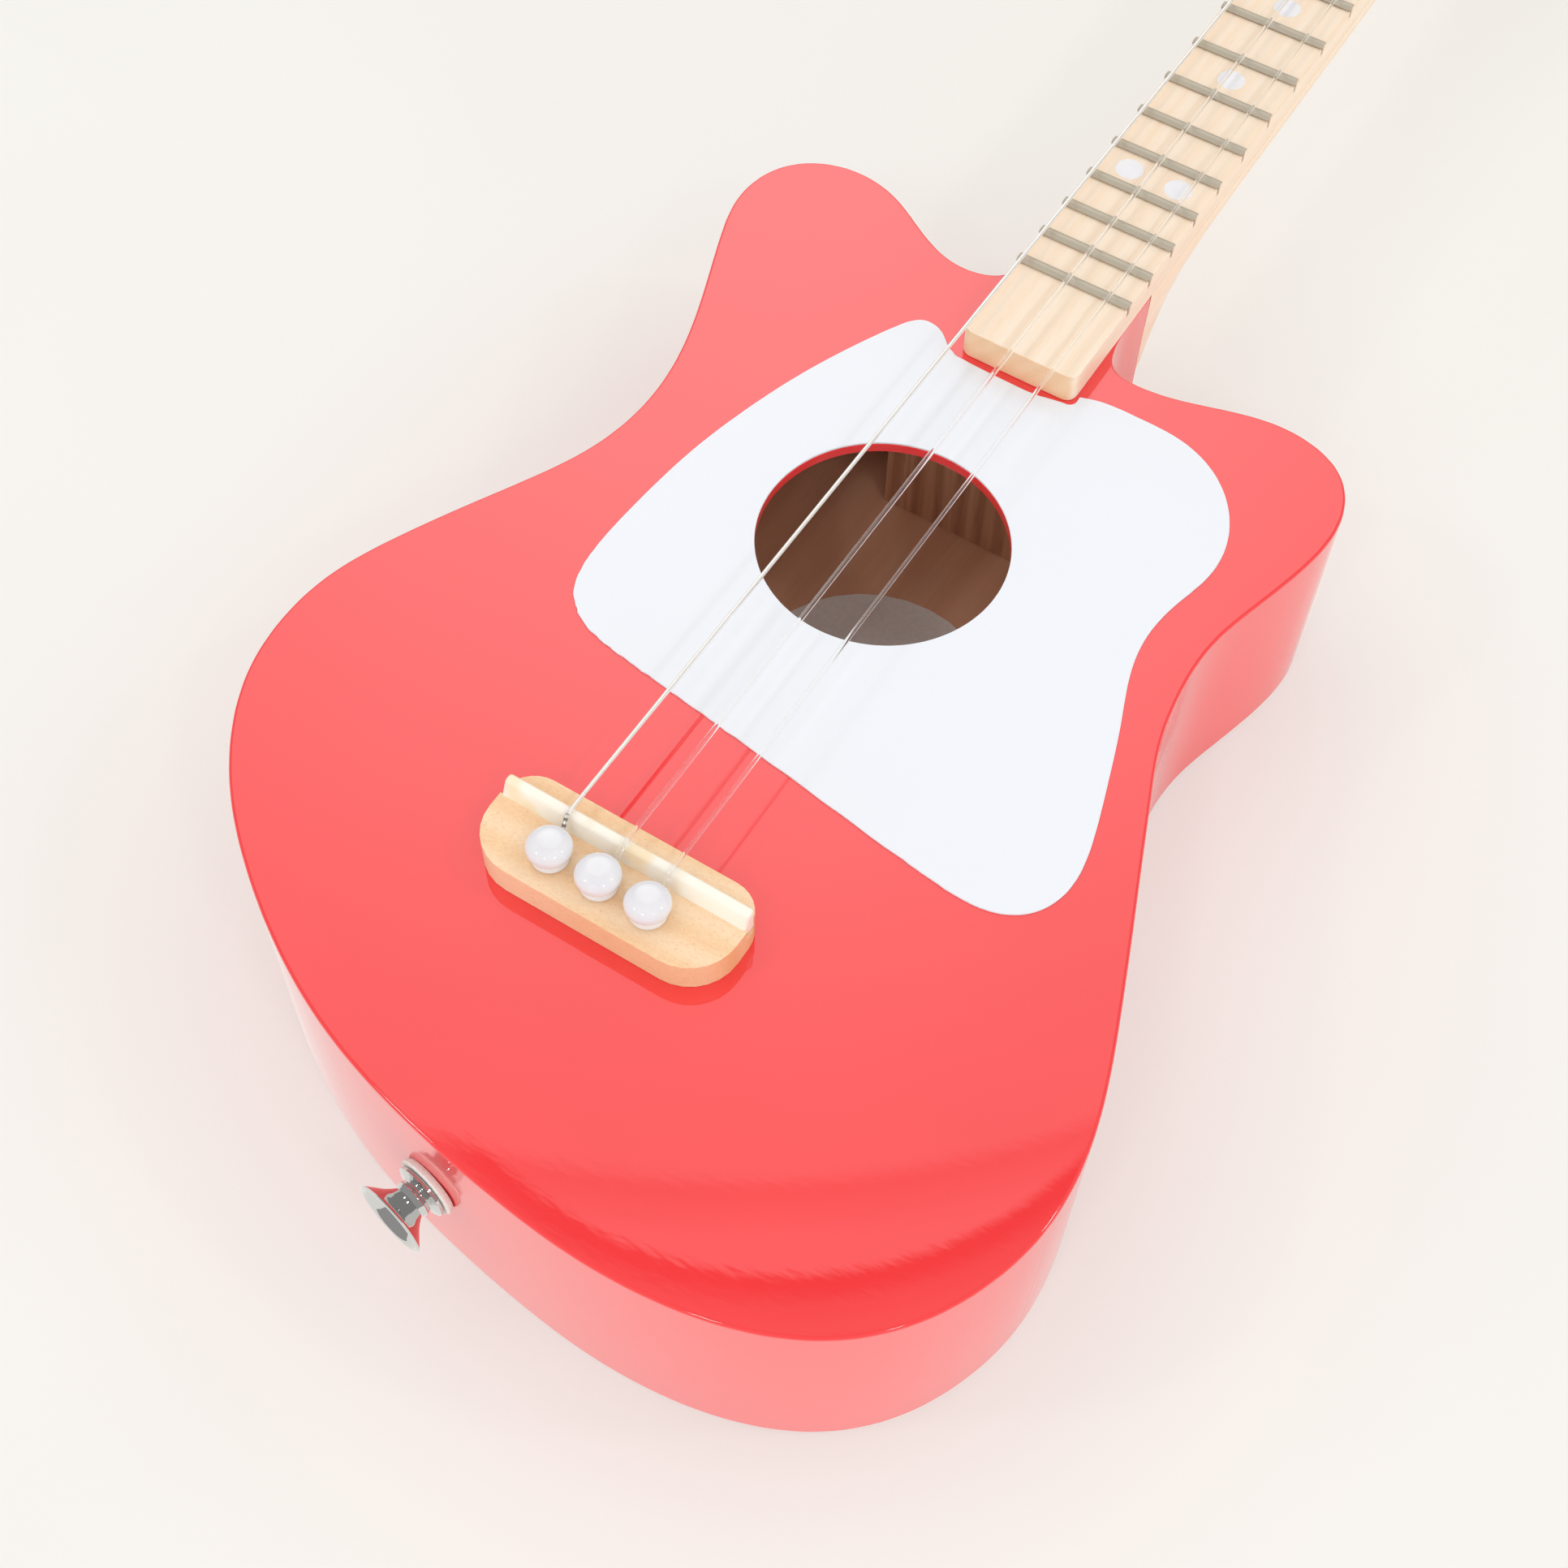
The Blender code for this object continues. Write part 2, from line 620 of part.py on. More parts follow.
def bridge_outline():
    """Rectangle with two sizes of round corner, counted anticlockwise."""
    half = BRIDGE_LENGTH / 2
    corners = [(1, BRIDGE_BACK_Y, BRIDGE_BACK_CORNER, -90),
               (1, BRIDGE_FRONT_Y, BRIDGE_FRONT_CORNER, 0),
               (-1, BRIDGE_FRONT_Y, BRIDGE_FRONT_CORNER, 90),
               (-1, BRIDGE_BACK_Y, BRIDGE_BACK_CORNER, 180)]
    points = []
    for side, y, radius, start in corners:
        inwards = 1 if y == BRIDGE_BACK_Y else -1
        centre = Vector((BRIDGE_X + side * (half - radius), y + inwards * radius))
        for step in range(8):
            angle = math.radians(start + 90 * step / 7)
            points.append(centre + radius * Vector((math.cos(angle), math.sin(angle))))
    return points


def build_bridge(top):
    """Bridge with its saddle slot, and the saddle and bridge plate."""
    holes = [circle(x, y, PIN_HOLE_RADIUS, 20) for x, y in pin_places()]
    bridge = flat_piece("bridge", [bridge_outline()] + holes, TOP_Z + GAP,
                        TOP_Z + BRIDGE_HEIGHT, (MAPLE, 0.4))
    slot_floor = TOP_Z + BRIDGE_HEIGHT - SADDLE_SLOT_DEPTH
    back = SADDLE_FRONT_Y - SADDLE_BASE_WIDTH
    slot = box("saddle_slot", (BRIDGE_X - BRIDGE_LENGTH, back - GAP, slot_floor),
               (BRIDGE_X + BRIDGE_LENGTH, SADDLE_FRONT_Y + GAP, TOP_Z + 2 * SADDLE_TOP))
    boolean(bridge, slot)
    rise = TOP_Z + SADDLE_TOP
    low = slot_floor + GAP
    knee = TOP_Z + BRIDGE_HEIGHT
    crest = SADDLE_FRONT_Y - SADDLE_TOP_WIDTH
    rings = []
    for x in (BRIDGE_X - SADDLE_LENGTH / 2, BRIDGE_X + SADDLE_LENGTH / 2):
        rings.append([(x, SADDLE_FRONT_Y, low), (x, SADDLE_FRONT_Y, rise),
                      (x, crest, rise), (x, back, knee), (x, back, low)])
    loft("saddle", rings, (IVORY, 0.35))
    for k, (x, y) in enumerate(pin_places()):
        boolean(top, rod("pin_hole_" + str(k), (x, y, INNER_TOP_Z - GAP),
                         (x, y, TOP_Z + GAP), PIN_HOLE_RADIUS, None, 20))
    half = BRIDGE_LENGTH / 2 - BRIDGE_PLATE_MARGIN
    plate = [(BRIDGE_X - half, BRIDGE_BACK_Y + BRIDGE_PLATE_MARGIN / 2),
             (BRIDGE_X + half, BRIDGE_BACK_Y + BRIDGE_PLATE_MARGIN / 2),
             (BRIDGE_X + half, BRIDGE_FRONT_Y), (BRIDGE_X - half, BRIDGE_FRONT_Y)]
    flat_piece("bridge_plate", [plate] + holes, INNER_TOP_Z - BRIDGE_PLATE_THICKNESS,
               INNER_TOP_Z, (PINE, 0.7))


def pin_profile():
    """Radius and height of a bridge pin, measured from the bridge's top."""
    tip = -(BRIDGE_HEIGHT + TOP_THICKNESS + BRIDGE_PLATE_THICKNESS
            + PIN_TIP_BELOW_PLATE)
    profile = [(0, PIN_HEAD_CENTRE + 0.86 * PIN_HEAD_RADIUS)]
    for step in range(1, 6):
        angle = math.radians(90 - 90 * step / 5)
        profile.append((PIN_HEAD_RADIUS * math.cos(angle),
                        PIN_HEAD_CENTRE + 0.86 * PIN_HEAD_RADIUS * math.sin(angle)))
    for step in range(1, 3):
        angle = math.radians(-23 * step)
        profile.append((PIN_HEAD_RADIUS * math.cos(angle),
                        PIN_HEAD_CENTRE + 0.5 * PIN_HEAD_RADIUS * math.sin(angle)))
    neck = PIN_SHANK_RADIUS
    collar = PIN_COLLAR_RADIUS
    profile += [(neck, 0.0018), (neck, 0.0013), (collar - 0.0003, 0.0013),
                (collar, 0.0010), (collar, GAP), (neck, GAP),
                (PIN_TIP_RADIUS, tip + 0.0012),
                (PIN_TIP_RADIUS * 0.6, tip), (0, tip)]
    return profile


def build_pins():
    """Domed pins; a groove down the front of each shank lets its string pass."""
    profile = pin_profile()
    tip = profile[-1][1]
    for name, radius, (x, y) in zip(STRING_NAMES, STRING_RADII, pin_places()):
        frame = Matrix.Translation((x, y, TOP_Z + BRIDGE_HEIGHT))
        pin = turned("bridge_pin_" + name, profile, frame, (WHITE, 0.1), 16)
        half = radius + STRING_GAP
        groove = box("pin_groove_" + name,
                     (x - half, y + STRING_IN_HOLE - half,
                      TOP_Z + BRIDGE_HEIGHT + tip - 0.001),
                     (x + half, y + 2 * PIN_HEAD_RADIUS,
                      TOP_Z + BRIDGE_HEIGHT + 0.0016))
        boolean(pin, groove)


def fret_y(number):
    return SCALE_LENGTH * 2 ** (-number / 12) + COMPENSATION


def board_half_width(y):
    share = (y - FRETBOARD_END_Y) / (NUT_Y - FRETBOARD_END_Y)
    return FRETBOARD_HALF_WIDTH_END + share * (FRETBOARD_HALF_WIDTH_NUT
                                               - FRETBOARD_HALF_WIDTH_END)


def fretboard_outline(end_y, grow):
    """Tapered board with two round corners at its body end."""
    radius = FRETBOARD_CORNER_RADIUS
    points = []
    for side, start in ((-1, 180), (1, 270)):
        x = side * (board_half_width(end_y) + grow - radius)
        for step in range(7):
            angle = math.radians(start + 90 * step / 6)
            points.append(Vector((x + radius * math.cos(angle),
                                  end_y + radius + radius * math.sin(angle))))
    nut = board_half_width(NUT_Y) + grow
    return points + [Vector((nut, NUT_Y - GAP)), Vector((-nut, NUT_Y - GAP))]


def fret_profile(crown_low):
    """Half-round crown over a thin tang, as (along the neck, height)."""
    half = FRET_WIDTH / 2
    tang = FRET_TANG_WIDTH / 2
    points = [(-tang, crown_low - FRET_TANG_DEPTH), (tang, crown_low - FRET_TANG_DEPTH),
              (tang, crown_low), (half, crown_low)]
    for step in range(1, 6):
        angle = math.radians(180 * step / 6)
        points.append((half * math.cos(angle),
                       crown_low + (FRET_CROWN - GAP) * math.sin(angle)))
    return points + [(-half, crown_low), (-tang, crown_low)]


def build_fretboard():
    """Fretboard with a slot at each fret, and the frets."""
    top = TOP_Z + GAP + FRETBOARD_THICKNESS
    board = flat_piece("fretboard", [fretboard_outline(FRETBOARD_END_Y, 0)],
                       TOP_Z + GAP, top, (PALE_MAPLE, 0.45))
    half_slot = FRET_TANG_WIDTH / 2 + GAP
    for number in range(1, FRET_COUNT + 1):
        y = fret_y(number)
        half = board_half_width(y)
        slot = box("fret_slot_" + str(number),
                   (-half - PAST_FACE, y - half_slot, top - FRET_TANG_DEPTH - GAP),
                   (half + PAST_FACE, y + half_slot, top + PAST_FACE))
        boolean(board, slot)
        rings = [[(x, y + along, height)
                  for along, height in fret_profile(top + GAP)]
                 for x in (-half, half)]
        loft("fret_{:02d}".format(number), rings, (NICKEL, 0.3, 1.0))


def build_nut():
    """Nut with three slots that clear the strings."""
    half = board_half_width(NUT_Y)
    low = TOP_Z + GAP
    nut = box("nut", (-half, NUT_Y, low), (half, NUT_FAR_Y, TOP_Z + NUT_HEIGHT),
              (IVORY, 0.35))
    for name, x, radius in zip(STRING_NAMES, STRING_NUT_X, STRING_RADII):
        half_slot = radius + STRING_GAP
        slot = box("nut_slot_" + name,
                   (x - half_slot, NUT_Y - PAST_FACE, TOP_Z + NUT_SLOT_HEIGHT),
                   (x + half_slot, NUT_FAR_Y + PAST_FACE, TOP_Z + 2 * NUT_HEIGHT))
        boolean(nut, slot)


def neck_section(y, half_width, top, depth, squareness):
    """Ring of a neck section: flat on top, rounded below."""
    ring = [(-half_width, y, top)]
    count = 12
    for step in range(count + 1):
        angle = math.pi * step / count
        c = math.cos(angle)
        s = math.sin(angle)
        x = -half_width * math.copysign(abs(c) ** squareness, c)
        z = top - NECK_EDGE - (depth - NECK_EDGE) * s ** squareness
        ring.append((x, y, z))
    ring.append((half_width, y, top))
    return ring


def head_outline():
    """Rounded paddle, symmetric about the centreline."""
    right = [(x * HEAD_HALF_WIDTH, NUT_FAR_Y + y * HEAD_LENGTH) for x, y in HEAD_HALF]
    left = [(-x, y) for x, y in reversed(right)]
    return smooth_curve(right + left, False, 3)


def tuner_places():
    return [(side * TUNER_X, NUT_FAR_Y + past, side)
            for side, past in zip(TUNER_SIDES, TUNER_PAST_NUT)]


def neck_stations():
    """Sections of the neck: place along it, drop of its flat face, depth, squareness."""
    joint = NECK_JOINT_Y + GAP
    extra = HEEL_DEPTH - NECK_DEPTH
    stations = [(joint + along * HEEL_LENGTH, 0, NECK_DEPTH + share * extra, squareness)
                for along, share, squareness in HEEL_CURVE]
    shaft_end = NUT_FAR_Y - HEAD_LENGTH / 4
    stations.append((shaft_end, 0, NECK_DEPTH, stations[-1][3]))
    full = HEAD_DROP + HEAD_THICKNESS
    for along, drop, share, squareness in HEAD_CURVE:
        depth = NECK_DEPTH + share * (full - NECK_DEPTH)
        stations.append((NUT_FAR_Y + along * HEAD_TRANSITION, drop * HEAD_DROP,
                         depth - drop * HEAD_DROP, squareness))
    return stations


def build_neck():
    """Neck shaft with its heel, and the headstock with three post holes."""
    rings = []
    for y, drop, depth, squareness in neck_stations():
        half = min(board_half_width(y), NECK_JOINT_HALF_WIDTH)
        rings.append(neck_section(y, half, TOP_Z - drop, depth, squareness))
    neck = loft("neck", rings, (PALE_MAPLE, 0.45))
    head = flat_piece("headstock_form", [head_outline()], HEAD_BACK_Z, HEAD_FACE_Z)
    boolean(neck, head, "UNION")
    for k, (x, y, side) in enumerate(tuner_places()):
        bore = rod("post_bore_" + str(k), (x, y, HEAD_BACK_Z - PAST_FACE),
                   (x, y, HEAD_FACE_Z + PAST_FACE), POST_RADIUS + POST_BORE_CLEARANCE)
        boolean(neck, bore)


def wrap_radius(radius):
    return POST_WAIST_RADIUS + STRING_GAP + radius


def tangent_angle(start, centre, radius, turn):
    """Angle on a circle where a line from start touches it, going round by turn."""
    way = Vector(start) - Vector(centre)
    base = math.atan2(way.y, way.x)
    return base + turn * math.acos(radius / way.length)


def build_strings():
    """Each string from its ball, up the pin hole, over saddle and nut, round its post."""
    crest = TOP_Z + SADDLE_TOP
    for k, (name, radius) in enumerate(zip(STRING_NAMES, STRING_RADII)):
        pin_x, pin_y = pin_places()[k]
        hole_y = pin_y + STRING_IN_HOLE
        plate_low = INNER_TOP_Z - BRIDGE_PLATE_THICKNESS
        ball = Vector((pin_x, hole_y + 0.0022, plate_low - GAP - BALL_RADIUS))
        bridge_top = TOP_Z + BRIDGE_HEIGHT
        rest = crest + STRING_GAP + radius
        nut_z = TOP_Z + NUT_SLOT_HEIGHT + STRING_GAP + radius
        saddle_x = STRING_SADDLE_X[k]
        mid_x = (pin_x + saddle_x) / 2
        crest_y = SADDLE_FRONT_Y - SADDLE_TOP_WIDTH
        points = [
            ball, (pin_x, hole_y + 0.0008, plate_low - 0.0006),
            (pin_x, hole_y, plate_low + 0.0006), (pin_x, hole_y, bridge_top - 0.0003),
            (pin_x, hole_y + 0.0002, bridge_top + 0.0003),
            (pin_x, hole_y + 0.0009, bridge_top + 0.0009),
            (mid_x, (hole_y + crest_y) / 2, bridge_top / 2 + rest / 2 + 0.0002),
            (saddle_x, crest_y - 0.0004, rest - 0.0001),
            (saddle_x, crest_y + 0.0004, rest), (saddle_x, SADDLE_FRONT_Y, rest),
        ]
        nut_x = STRING_NUT_X[k]
        for step in range(1, 4):
            share = step / 4
            points.append((saddle_x + share * (nut_x - saddle_x),
                           SADDLE_FRONT_Y + share * (NUT_Y - SADDLE_FRONT_Y),
                           rest + share * (nut_z - rest)))
        points += [(nut_x, NUT_Y, nut_z), (nut_x, NUT_FAR_Y, nut_z)]
        x, y, side = tuner_places()[k]
        ring = wrap_radius(radius)
        turn = -side
        first = tangent_angle((nut_x, NUT_FAR_Y), (x, y), ring, turn)
        steps = 14
        for step in range(steps + 1):
            angle = first + turn * WRAP_ANGLE * step / steps
            points.append((x + ring * math.cos(angle), y + ring * math.sin(angle),
                           TOP_Z + WRAP_Z))
        string = tube_mesh("string_" + name, points, radius,
                           (NICKEL if k == 0 else NYLON, 0.3))
        bead = turned("ball_" + name,
                      [(BALL_RADIUS * math.sin(math.pi * s / 6),
                        BALL_RADIUS * math.cos(math.pi * s / 6)) for s in range(7)],
                      Matrix.Translation(ball), None, 10)
        boolean(string, bead, "UNION")
        build_winding(name, radius, (x, y), first, turn)


def build_winding(name, radius, centre, first, turn):
    """Helical turns above the string's own wrap; they turn with the post."""
    ring = wrap_radius(radius)
    pitch = 2 * radius + WINDING_GAP
    low = TOP_Z + WRAP_Z + 2 * radius + WINDING_LIFT
    per_turn = 24
    points = []
    for step in range(WINDING_TURNS * per_turn + 1):
        angle = first + turn * 2 * math.pi * step / per_turn
        points.append(Vector((centre[0] + ring * math.cos(angle),
                              centre[1] + ring * math.sin(angle),
                              low + pitch * step / per_turn)))
    start_way = (points[0] - points[1]).normalized() * 2 * radius
    end_way = (points[-1] - points[-2]).normalized() * 2 * radius
    points = [points[0] + start_way] + points + [points[-1] + end_way]
    least = min((a - b).length for i, a in enumerate(points)
                for b in points[i + per_turn // 2:])
    print("winding_" + name, "least gap to itself", round((least - 2 * radius) * 1000, 2), "mm")
    tube("winding_" + name, points, radius, (NICKEL if name == "bass" else NYLON, 0.3), 1)


def post_profile():
    """Radius and height of a string post, from its top down to the gear."""
    top = TOP_Z + POST_TOP
    shoulder = TOP_Z + WRAP_Z - 0.0012
    lower = HEAD_BACK_Z + 0.002
    gear_low = GEAR_Z - GEAR_THICKNESS / 2
    gear_high = GEAR_Z + GEAR_THICKNESS / 2 + GAP
    return [(0, top), (POST_RADIUS - 0.0006, top), (POST_RADIUS, top - 0.0005),
            (POST_RADIUS, top - 0.0014), (POST_WAIST_RADIUS, top - 0.0020),
            (POST_WAIST_RADIUS, shoulder), (POST_RADIUS, shoulder - 0.0006),
            (POST_RADIUS, lower), (POST_LOWER_RADIUS, lower - 0.0006),
            (POST_LOWER_RADIUS, gear_high), (POST_END_RADIUS, gear_high),
            (POST_END_RADIUS, gear_low), (0, gear_low)]


def gear_outline(turned_by):
    """Worm gear outline: straight-sided teeth on a round root."""
    points = []
    root_half = 0.00048
    tip_half = 0.00012
    spots = [(GEAR_ROOT_RADIUS, -root_half), (GEAR_TIP_RADIUS, -tip_half),
             (GEAR_TIP_RADIUS, tip_half), (GEAR_ROOT_RADIUS, root_half)]
    for tooth in range(GEAR_TEETH):
        centre = math.pi / 2 + 2 * math.pi * tooth / GEAR_TEETH + turned_by
        for radius, along in spots:
            angle = centre + along / radius
            points.append((radius * math.cos(angle), radius * math.sin(angle)))
    return points


def build_gear(name, x, y):
    """Gear whose teeth lean with the worm's thread."""
    lean = WORM_LEAD / (2 * math.pi * WORM_PITCH_RADIUS)
    rings = []
    for height in (-GEAR_THICKNESS / 2, GEAR_THICKNESS / 2):
        ring = gear_outline(height * lean / GEAR_PITCH_RADIUS)
        rings.append([(x + px, y + py, GEAR_Z + height) for px, py in ring])
    gear = loft("post_gear_" + name, rings, (BRASS, 0.35, 1.0))
    bore = rod("gear_bore_" + name, (x, y, GEAR_Z - GEAR_THICKNESS),
               (x, y, GEAR_Z + GEAR_THICKNESS), POST_END_RADIUS + GAP, None, 20)
    boolean(gear, bore)


def build_worm(name, x, y, side):
    """Worm and its shaft, along X beside the gear."""
    worm_y = y + CENTRE_DISTANCE
    per_turn = 10
    half_count = int(WORM_TURNS * per_turn / 2)
    points = []
    for step in range(-half_count, half_count + 1):
        angle = 2 * math.pi * step / per_turn
        points.append((x + WORM_LEAD * step / per_turn,
                       worm_y + WORM_HELIX_RADIUS * math.cos(angle),
                       GEAR_Z + WORM_HELIX_RADIUS * math.sin(angle)))
    thread = tube_mesh("worm_thread_" + name, points, WORM_THREAD_RADIUS, None, 0)
    inner = x - side * (PLATE_LENGTH / 2 + SHAFT_PAST_PLATE)
    outer = side * (BUTTON_DISTANCE + SHAFT_IN_BUTTON)
    shaft = rod("worm_shaft_" + name, (inner, worm_y, GEAR_Z), (outer, worm_y, GEAR_Z),
                WORM_CORE_RADIUS, (NICKEL, 0.3, 1.0), 16)
    boolean(shaft, thread, "UNION")


def build_button(name, y, side):
    """Oval button on the shaft's outer end, with a blind bore."""
    worm_y = y + CENTRE_DISTANCE
    centre = Vector((side * (BUTTON_DISTANCE + BUTTON_LENGTH / 2), worm_y, GEAR_Z))
    mesh = bpy.data.meshes.new("tuner_button_" + name)
    bm = bmesh.new()
    bmesh.ops.create_uvsphere(bm, u_segments=16, v_segments=8, radius=0.5)
    bmesh.ops.scale(bm, verts=bm.verts,
                    vec=(BUTTON_LENGTH, BUTTON_WIDTH, BUTTON_THICKNESS))
    bm.to_mesh(mesh)
    bm.free()
    button = add_object("tuner_button_" + name, mesh, (WHITE, 0.15))
    button.location = centre
    boss_start = BUTTON_DISTANCE - BUTTON_BOSS_LENGTH
    boss = rod("button_boss_" + name, (side * boss_start, worm_y, GEAR_Z),
               (centre.x, worm_y, GEAR_Z), BUTTON_BOSS_RADIUS, None, 12)
    boolean(button, boss, "UNION")
    bore = rod("button_bore_" + name, (side * (boss_start - PAST_FACE), worm_y, GEAR_Z),
               (side * (BUTTON_DISTANCE + SHAFT_IN_BUTTON + GAP), worm_y, GEAR_Z),
               WORM_CORE_RADIUS + GAP, None, 16)
    boolean(button, bore)


def build_plate(name, x, y):
    """Tuner base plate with two lugs that carry the worm shaft."""
    worm_y = y + CENTRE_DISTANCE
    low_y = y - PLATE_BEHIND_POST
    high_y = low_y + PLATE_WIDTH
    half = PLATE_LENGTH / 2
    plate = box("tuner_plate_" + name, (x - half, low_y, PLATE_LOW_Z),
                (x + half, high_y, PLATE_LOW_Z + PLATE_THICKNESS), (NICKEL, 0.3, 1.0))
    for way in (-1, 1):
        outer = half - LUG_INSET
        ends = sorted((x + way * outer, x + way * (outer - LUG_THICKNESS)))
        lug = box("lug_" + name + str(way),
                  (ends[0], worm_y - LUG_HALF_WIDTH, GEAR_Z - LUG_BELOW_SHAFT),
                  (ends[1], worm_y + LUG_HALF_WIDTH, PLATE_LOW_Z + PLATE_THICKNESS / 2))
        boolean(plate, lug, "UNION")
    shaft = rod("lug_bore_" + name, (x - PLATE_LENGTH, worm_y, GEAR_Z),
                (x + PLATE_LENGTH, worm_y, GEAR_Z), WORM_CORE_RADIUS + GAP, None, 16)
    boolean(plate, shaft)
    post = rod("plate_bore_" + name, (x, y, PLATE_LOW_Z - PAST_FACE),
               (x, y, PLATE_LOW_Z + 2 * PLATE_THICKNESS), POST_LOWER_RADIUS + GAP, None, 20)
    boolean(plate, post)


def build_tuners():
    """Three open tuners: plate, worm, gear, post and button."""
    profile = post_profile()
    for name, (x, y, side) in zip(STRING_NAMES, tuner_places()):
        post = turned("string_post_" + name,
                      [(radius, height - GEAR_Z) for radius, height in profile],
                      Matrix.Translation((x, y, GEAR_Z)), (CHROME, 0.15, 1.0), 16)
        eye_z = TOP_Z + POST_TOP - STRING_EYE_BELOW_TOP
        eye = rod("string_eye_" + name, (x - POST_RADIUS - PAST_FACE, y, eye_z),
                  (x + POST_RADIUS + PAST_FACE, y, eye_z), STRING_EYE_RADIUS, None, 12)
        boolean(post, eye)
        build_gear(name, x, y)
        build_worm(name, x, y, side)
        build_button(name, y, side)
        build_plate(name, x, y)


def strap_place(outline):
    """Frame on the tail: its Z points out of the side, its Y up."""
    for first, second in zip(outline, outline[1:]):
        if first.y < 0 and first.x >= STRAP_BUTTON_X > second.x:
            share = (first.x - STRAP_BUTTON_X) / (first.x - second.x)
            spot = first + (second - first) * share
            way = (second - first).normalized()
    place = Vector((spot.x, spot.y, STRAP_BUTTON_HEIGHT))
    return axis_frame(place, (-way.y, way.x, 0))


def build_strap_button(frame, sides, tail_block):
    """Flared button and washer on a wood screw that runs into the tail block."""
    hole = STRAP_SCREW_RADIUS + GAP
    base = WASHER_THICKNESS + 2 * GAP
    length = STRAP_BUTTON_LENGTH
    washer = [(hole, GAP + WASHER_THICKNESS), (WASHER_RADIUS, GAP + WASHER_THICKNESS),
              (WASHER_RADIUS, GAP), (hole, GAP), (hole, GAP + WASHER_THICKNESS)]
    turned("strap_button_washer", washer, frame, (FELT, 0.9), 16)
    flare = STRAP_FLARE_RADIUS
    neck = STRAP_NECK_RADIUS
    top = base + length
    seat = top - STRAP_RECESS_DEPTH
    profile = [(hole, seat), (0.0030, seat), (flare - 0.0012, top - 0.0004),
               (flare - 0.0004, top), (flare, top - 0.0003)]
    for step in range(1, 6):
        share = step / 5
        profile.append((neck + (flare - neck) * (1 - share) ** 2.2,
                        top - 0.0003 - STRAP_FLARE_LENGTH * share))
    profile += [(neck, base + 0.0014), (STRAP_BASE_RADIUS, base + 0.0009),
                (STRAP_BASE_RADIUS, base), (hole, base), (hole, seat)]
    turned("strap_button", profile, frame, (CHROME, 0.1, 1.0), 20)
    head = seat + GAP
    shank = STRAP_SCREW_RADIUS
    screw = [(0, head + 0.0016), (0.0014, head + 0.0014), (0.0026, head + 0.0004),
             (0.0027, head), (shank, head), (shank, head - STRAP_SCREW_LENGTH + 0.003),
             (0, head - STRAP_SCREW_LENGTH)]
    turned("strap_button_screw", screw, frame, (CHROME, 0.2, 1.0), 20)
    bore = turned("strap_screw_bore",
                  [(0, 0.001), (hole, 0.001), (hole, -0.5 * BODY_DEPTH),
                   (0, -0.5 * BODY_DEPTH)], frame, None, 20)
    boolean(sides, bore)
    boolean(tail_block, bore)


def main():
    clear_scene()
    outline = body_outline()
    strap_frame = strap_place(outline)
    sides, top, soundhole = build_body(outline)
    tail_block = build_blocks(outline, strap_frame)
    build_linings(outline)
    build_braces(outline)
    build_label()
    build_pickguard(soundhole)
    build_bridge(top)
    build_pins()
    build_fretboard()
    build_nut()
    build_neck()
    build_strings()
    build_tuners()
    build_strap_button(strap_frame, sides, tail_block)


main()
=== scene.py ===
import json
import math
import bmesh
import bpy
from mathutils import Matrix, Vector
from mathutils.kdtree import KDTree


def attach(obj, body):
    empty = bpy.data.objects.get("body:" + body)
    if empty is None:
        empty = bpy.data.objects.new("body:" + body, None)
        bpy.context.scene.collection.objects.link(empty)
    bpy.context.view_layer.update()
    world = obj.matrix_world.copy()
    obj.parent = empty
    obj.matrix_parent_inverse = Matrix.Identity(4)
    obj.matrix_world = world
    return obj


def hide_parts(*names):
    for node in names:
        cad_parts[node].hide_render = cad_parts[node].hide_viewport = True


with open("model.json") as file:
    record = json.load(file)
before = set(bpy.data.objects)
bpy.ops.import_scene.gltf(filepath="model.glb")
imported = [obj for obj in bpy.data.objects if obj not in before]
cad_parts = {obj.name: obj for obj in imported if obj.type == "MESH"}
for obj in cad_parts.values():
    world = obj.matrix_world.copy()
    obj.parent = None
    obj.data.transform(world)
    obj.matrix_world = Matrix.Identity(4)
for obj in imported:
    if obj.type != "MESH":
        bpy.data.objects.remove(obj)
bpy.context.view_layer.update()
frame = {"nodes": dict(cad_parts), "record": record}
nodes = frame["nodes"]
bodyOf = {node: body for body, members in frame["record"]["behaviour"]["bodies"].items()
          for node in members}
stringNames = ["bass", "middle", "treble"]
stringRadii = [0.0004, 0.0005, 0.0004]
topZ = 0.048  # outer face of the soundboard
gap = 0.0003  # air left between pieces that touch
glue = 0.00002  # what is left of it where a piece is glued down

# Camera, where the photograph was taken from
camera = {"place": (0.1244, -0.1585, 0.3950), "lens": 53.045, "sensor": 36.0,
          "right": (0.84604096, 0.53283626, 0.01732673),
          "up": (-0.45821624, 0.71017813, 0.53449499)}
bpy.ops.object.camera_add()
view = bpy.context.object
view.name = "camera"
view.data.sensor_width = camera["sensor"]
view.data.lens = camera["lens"]
view.data.clip_start = 0.01
right = Vector(camera["right"])
up = Vector(camera["up"])
turned = Matrix((right, up, right.cross(up))).transposed().to_4x4()
turned.translation = Vector(camera["place"])
view.matrix_world = turned
bpy.context.scene.camera = view
bpy.context.scene.view_settings.view_transform = "Standard"
print("camera placed")


# Materials: small helpers
def toLinear(hexColour):
    channels = [int(hexColour[i:i + 2], 16) / 255 for i in (1, 3, 5)]
    return [c / 12.92 if c <= 0.04045 else ((c + 0.055) / 1.055) ** 2.4 for c in channels] + [1.0]


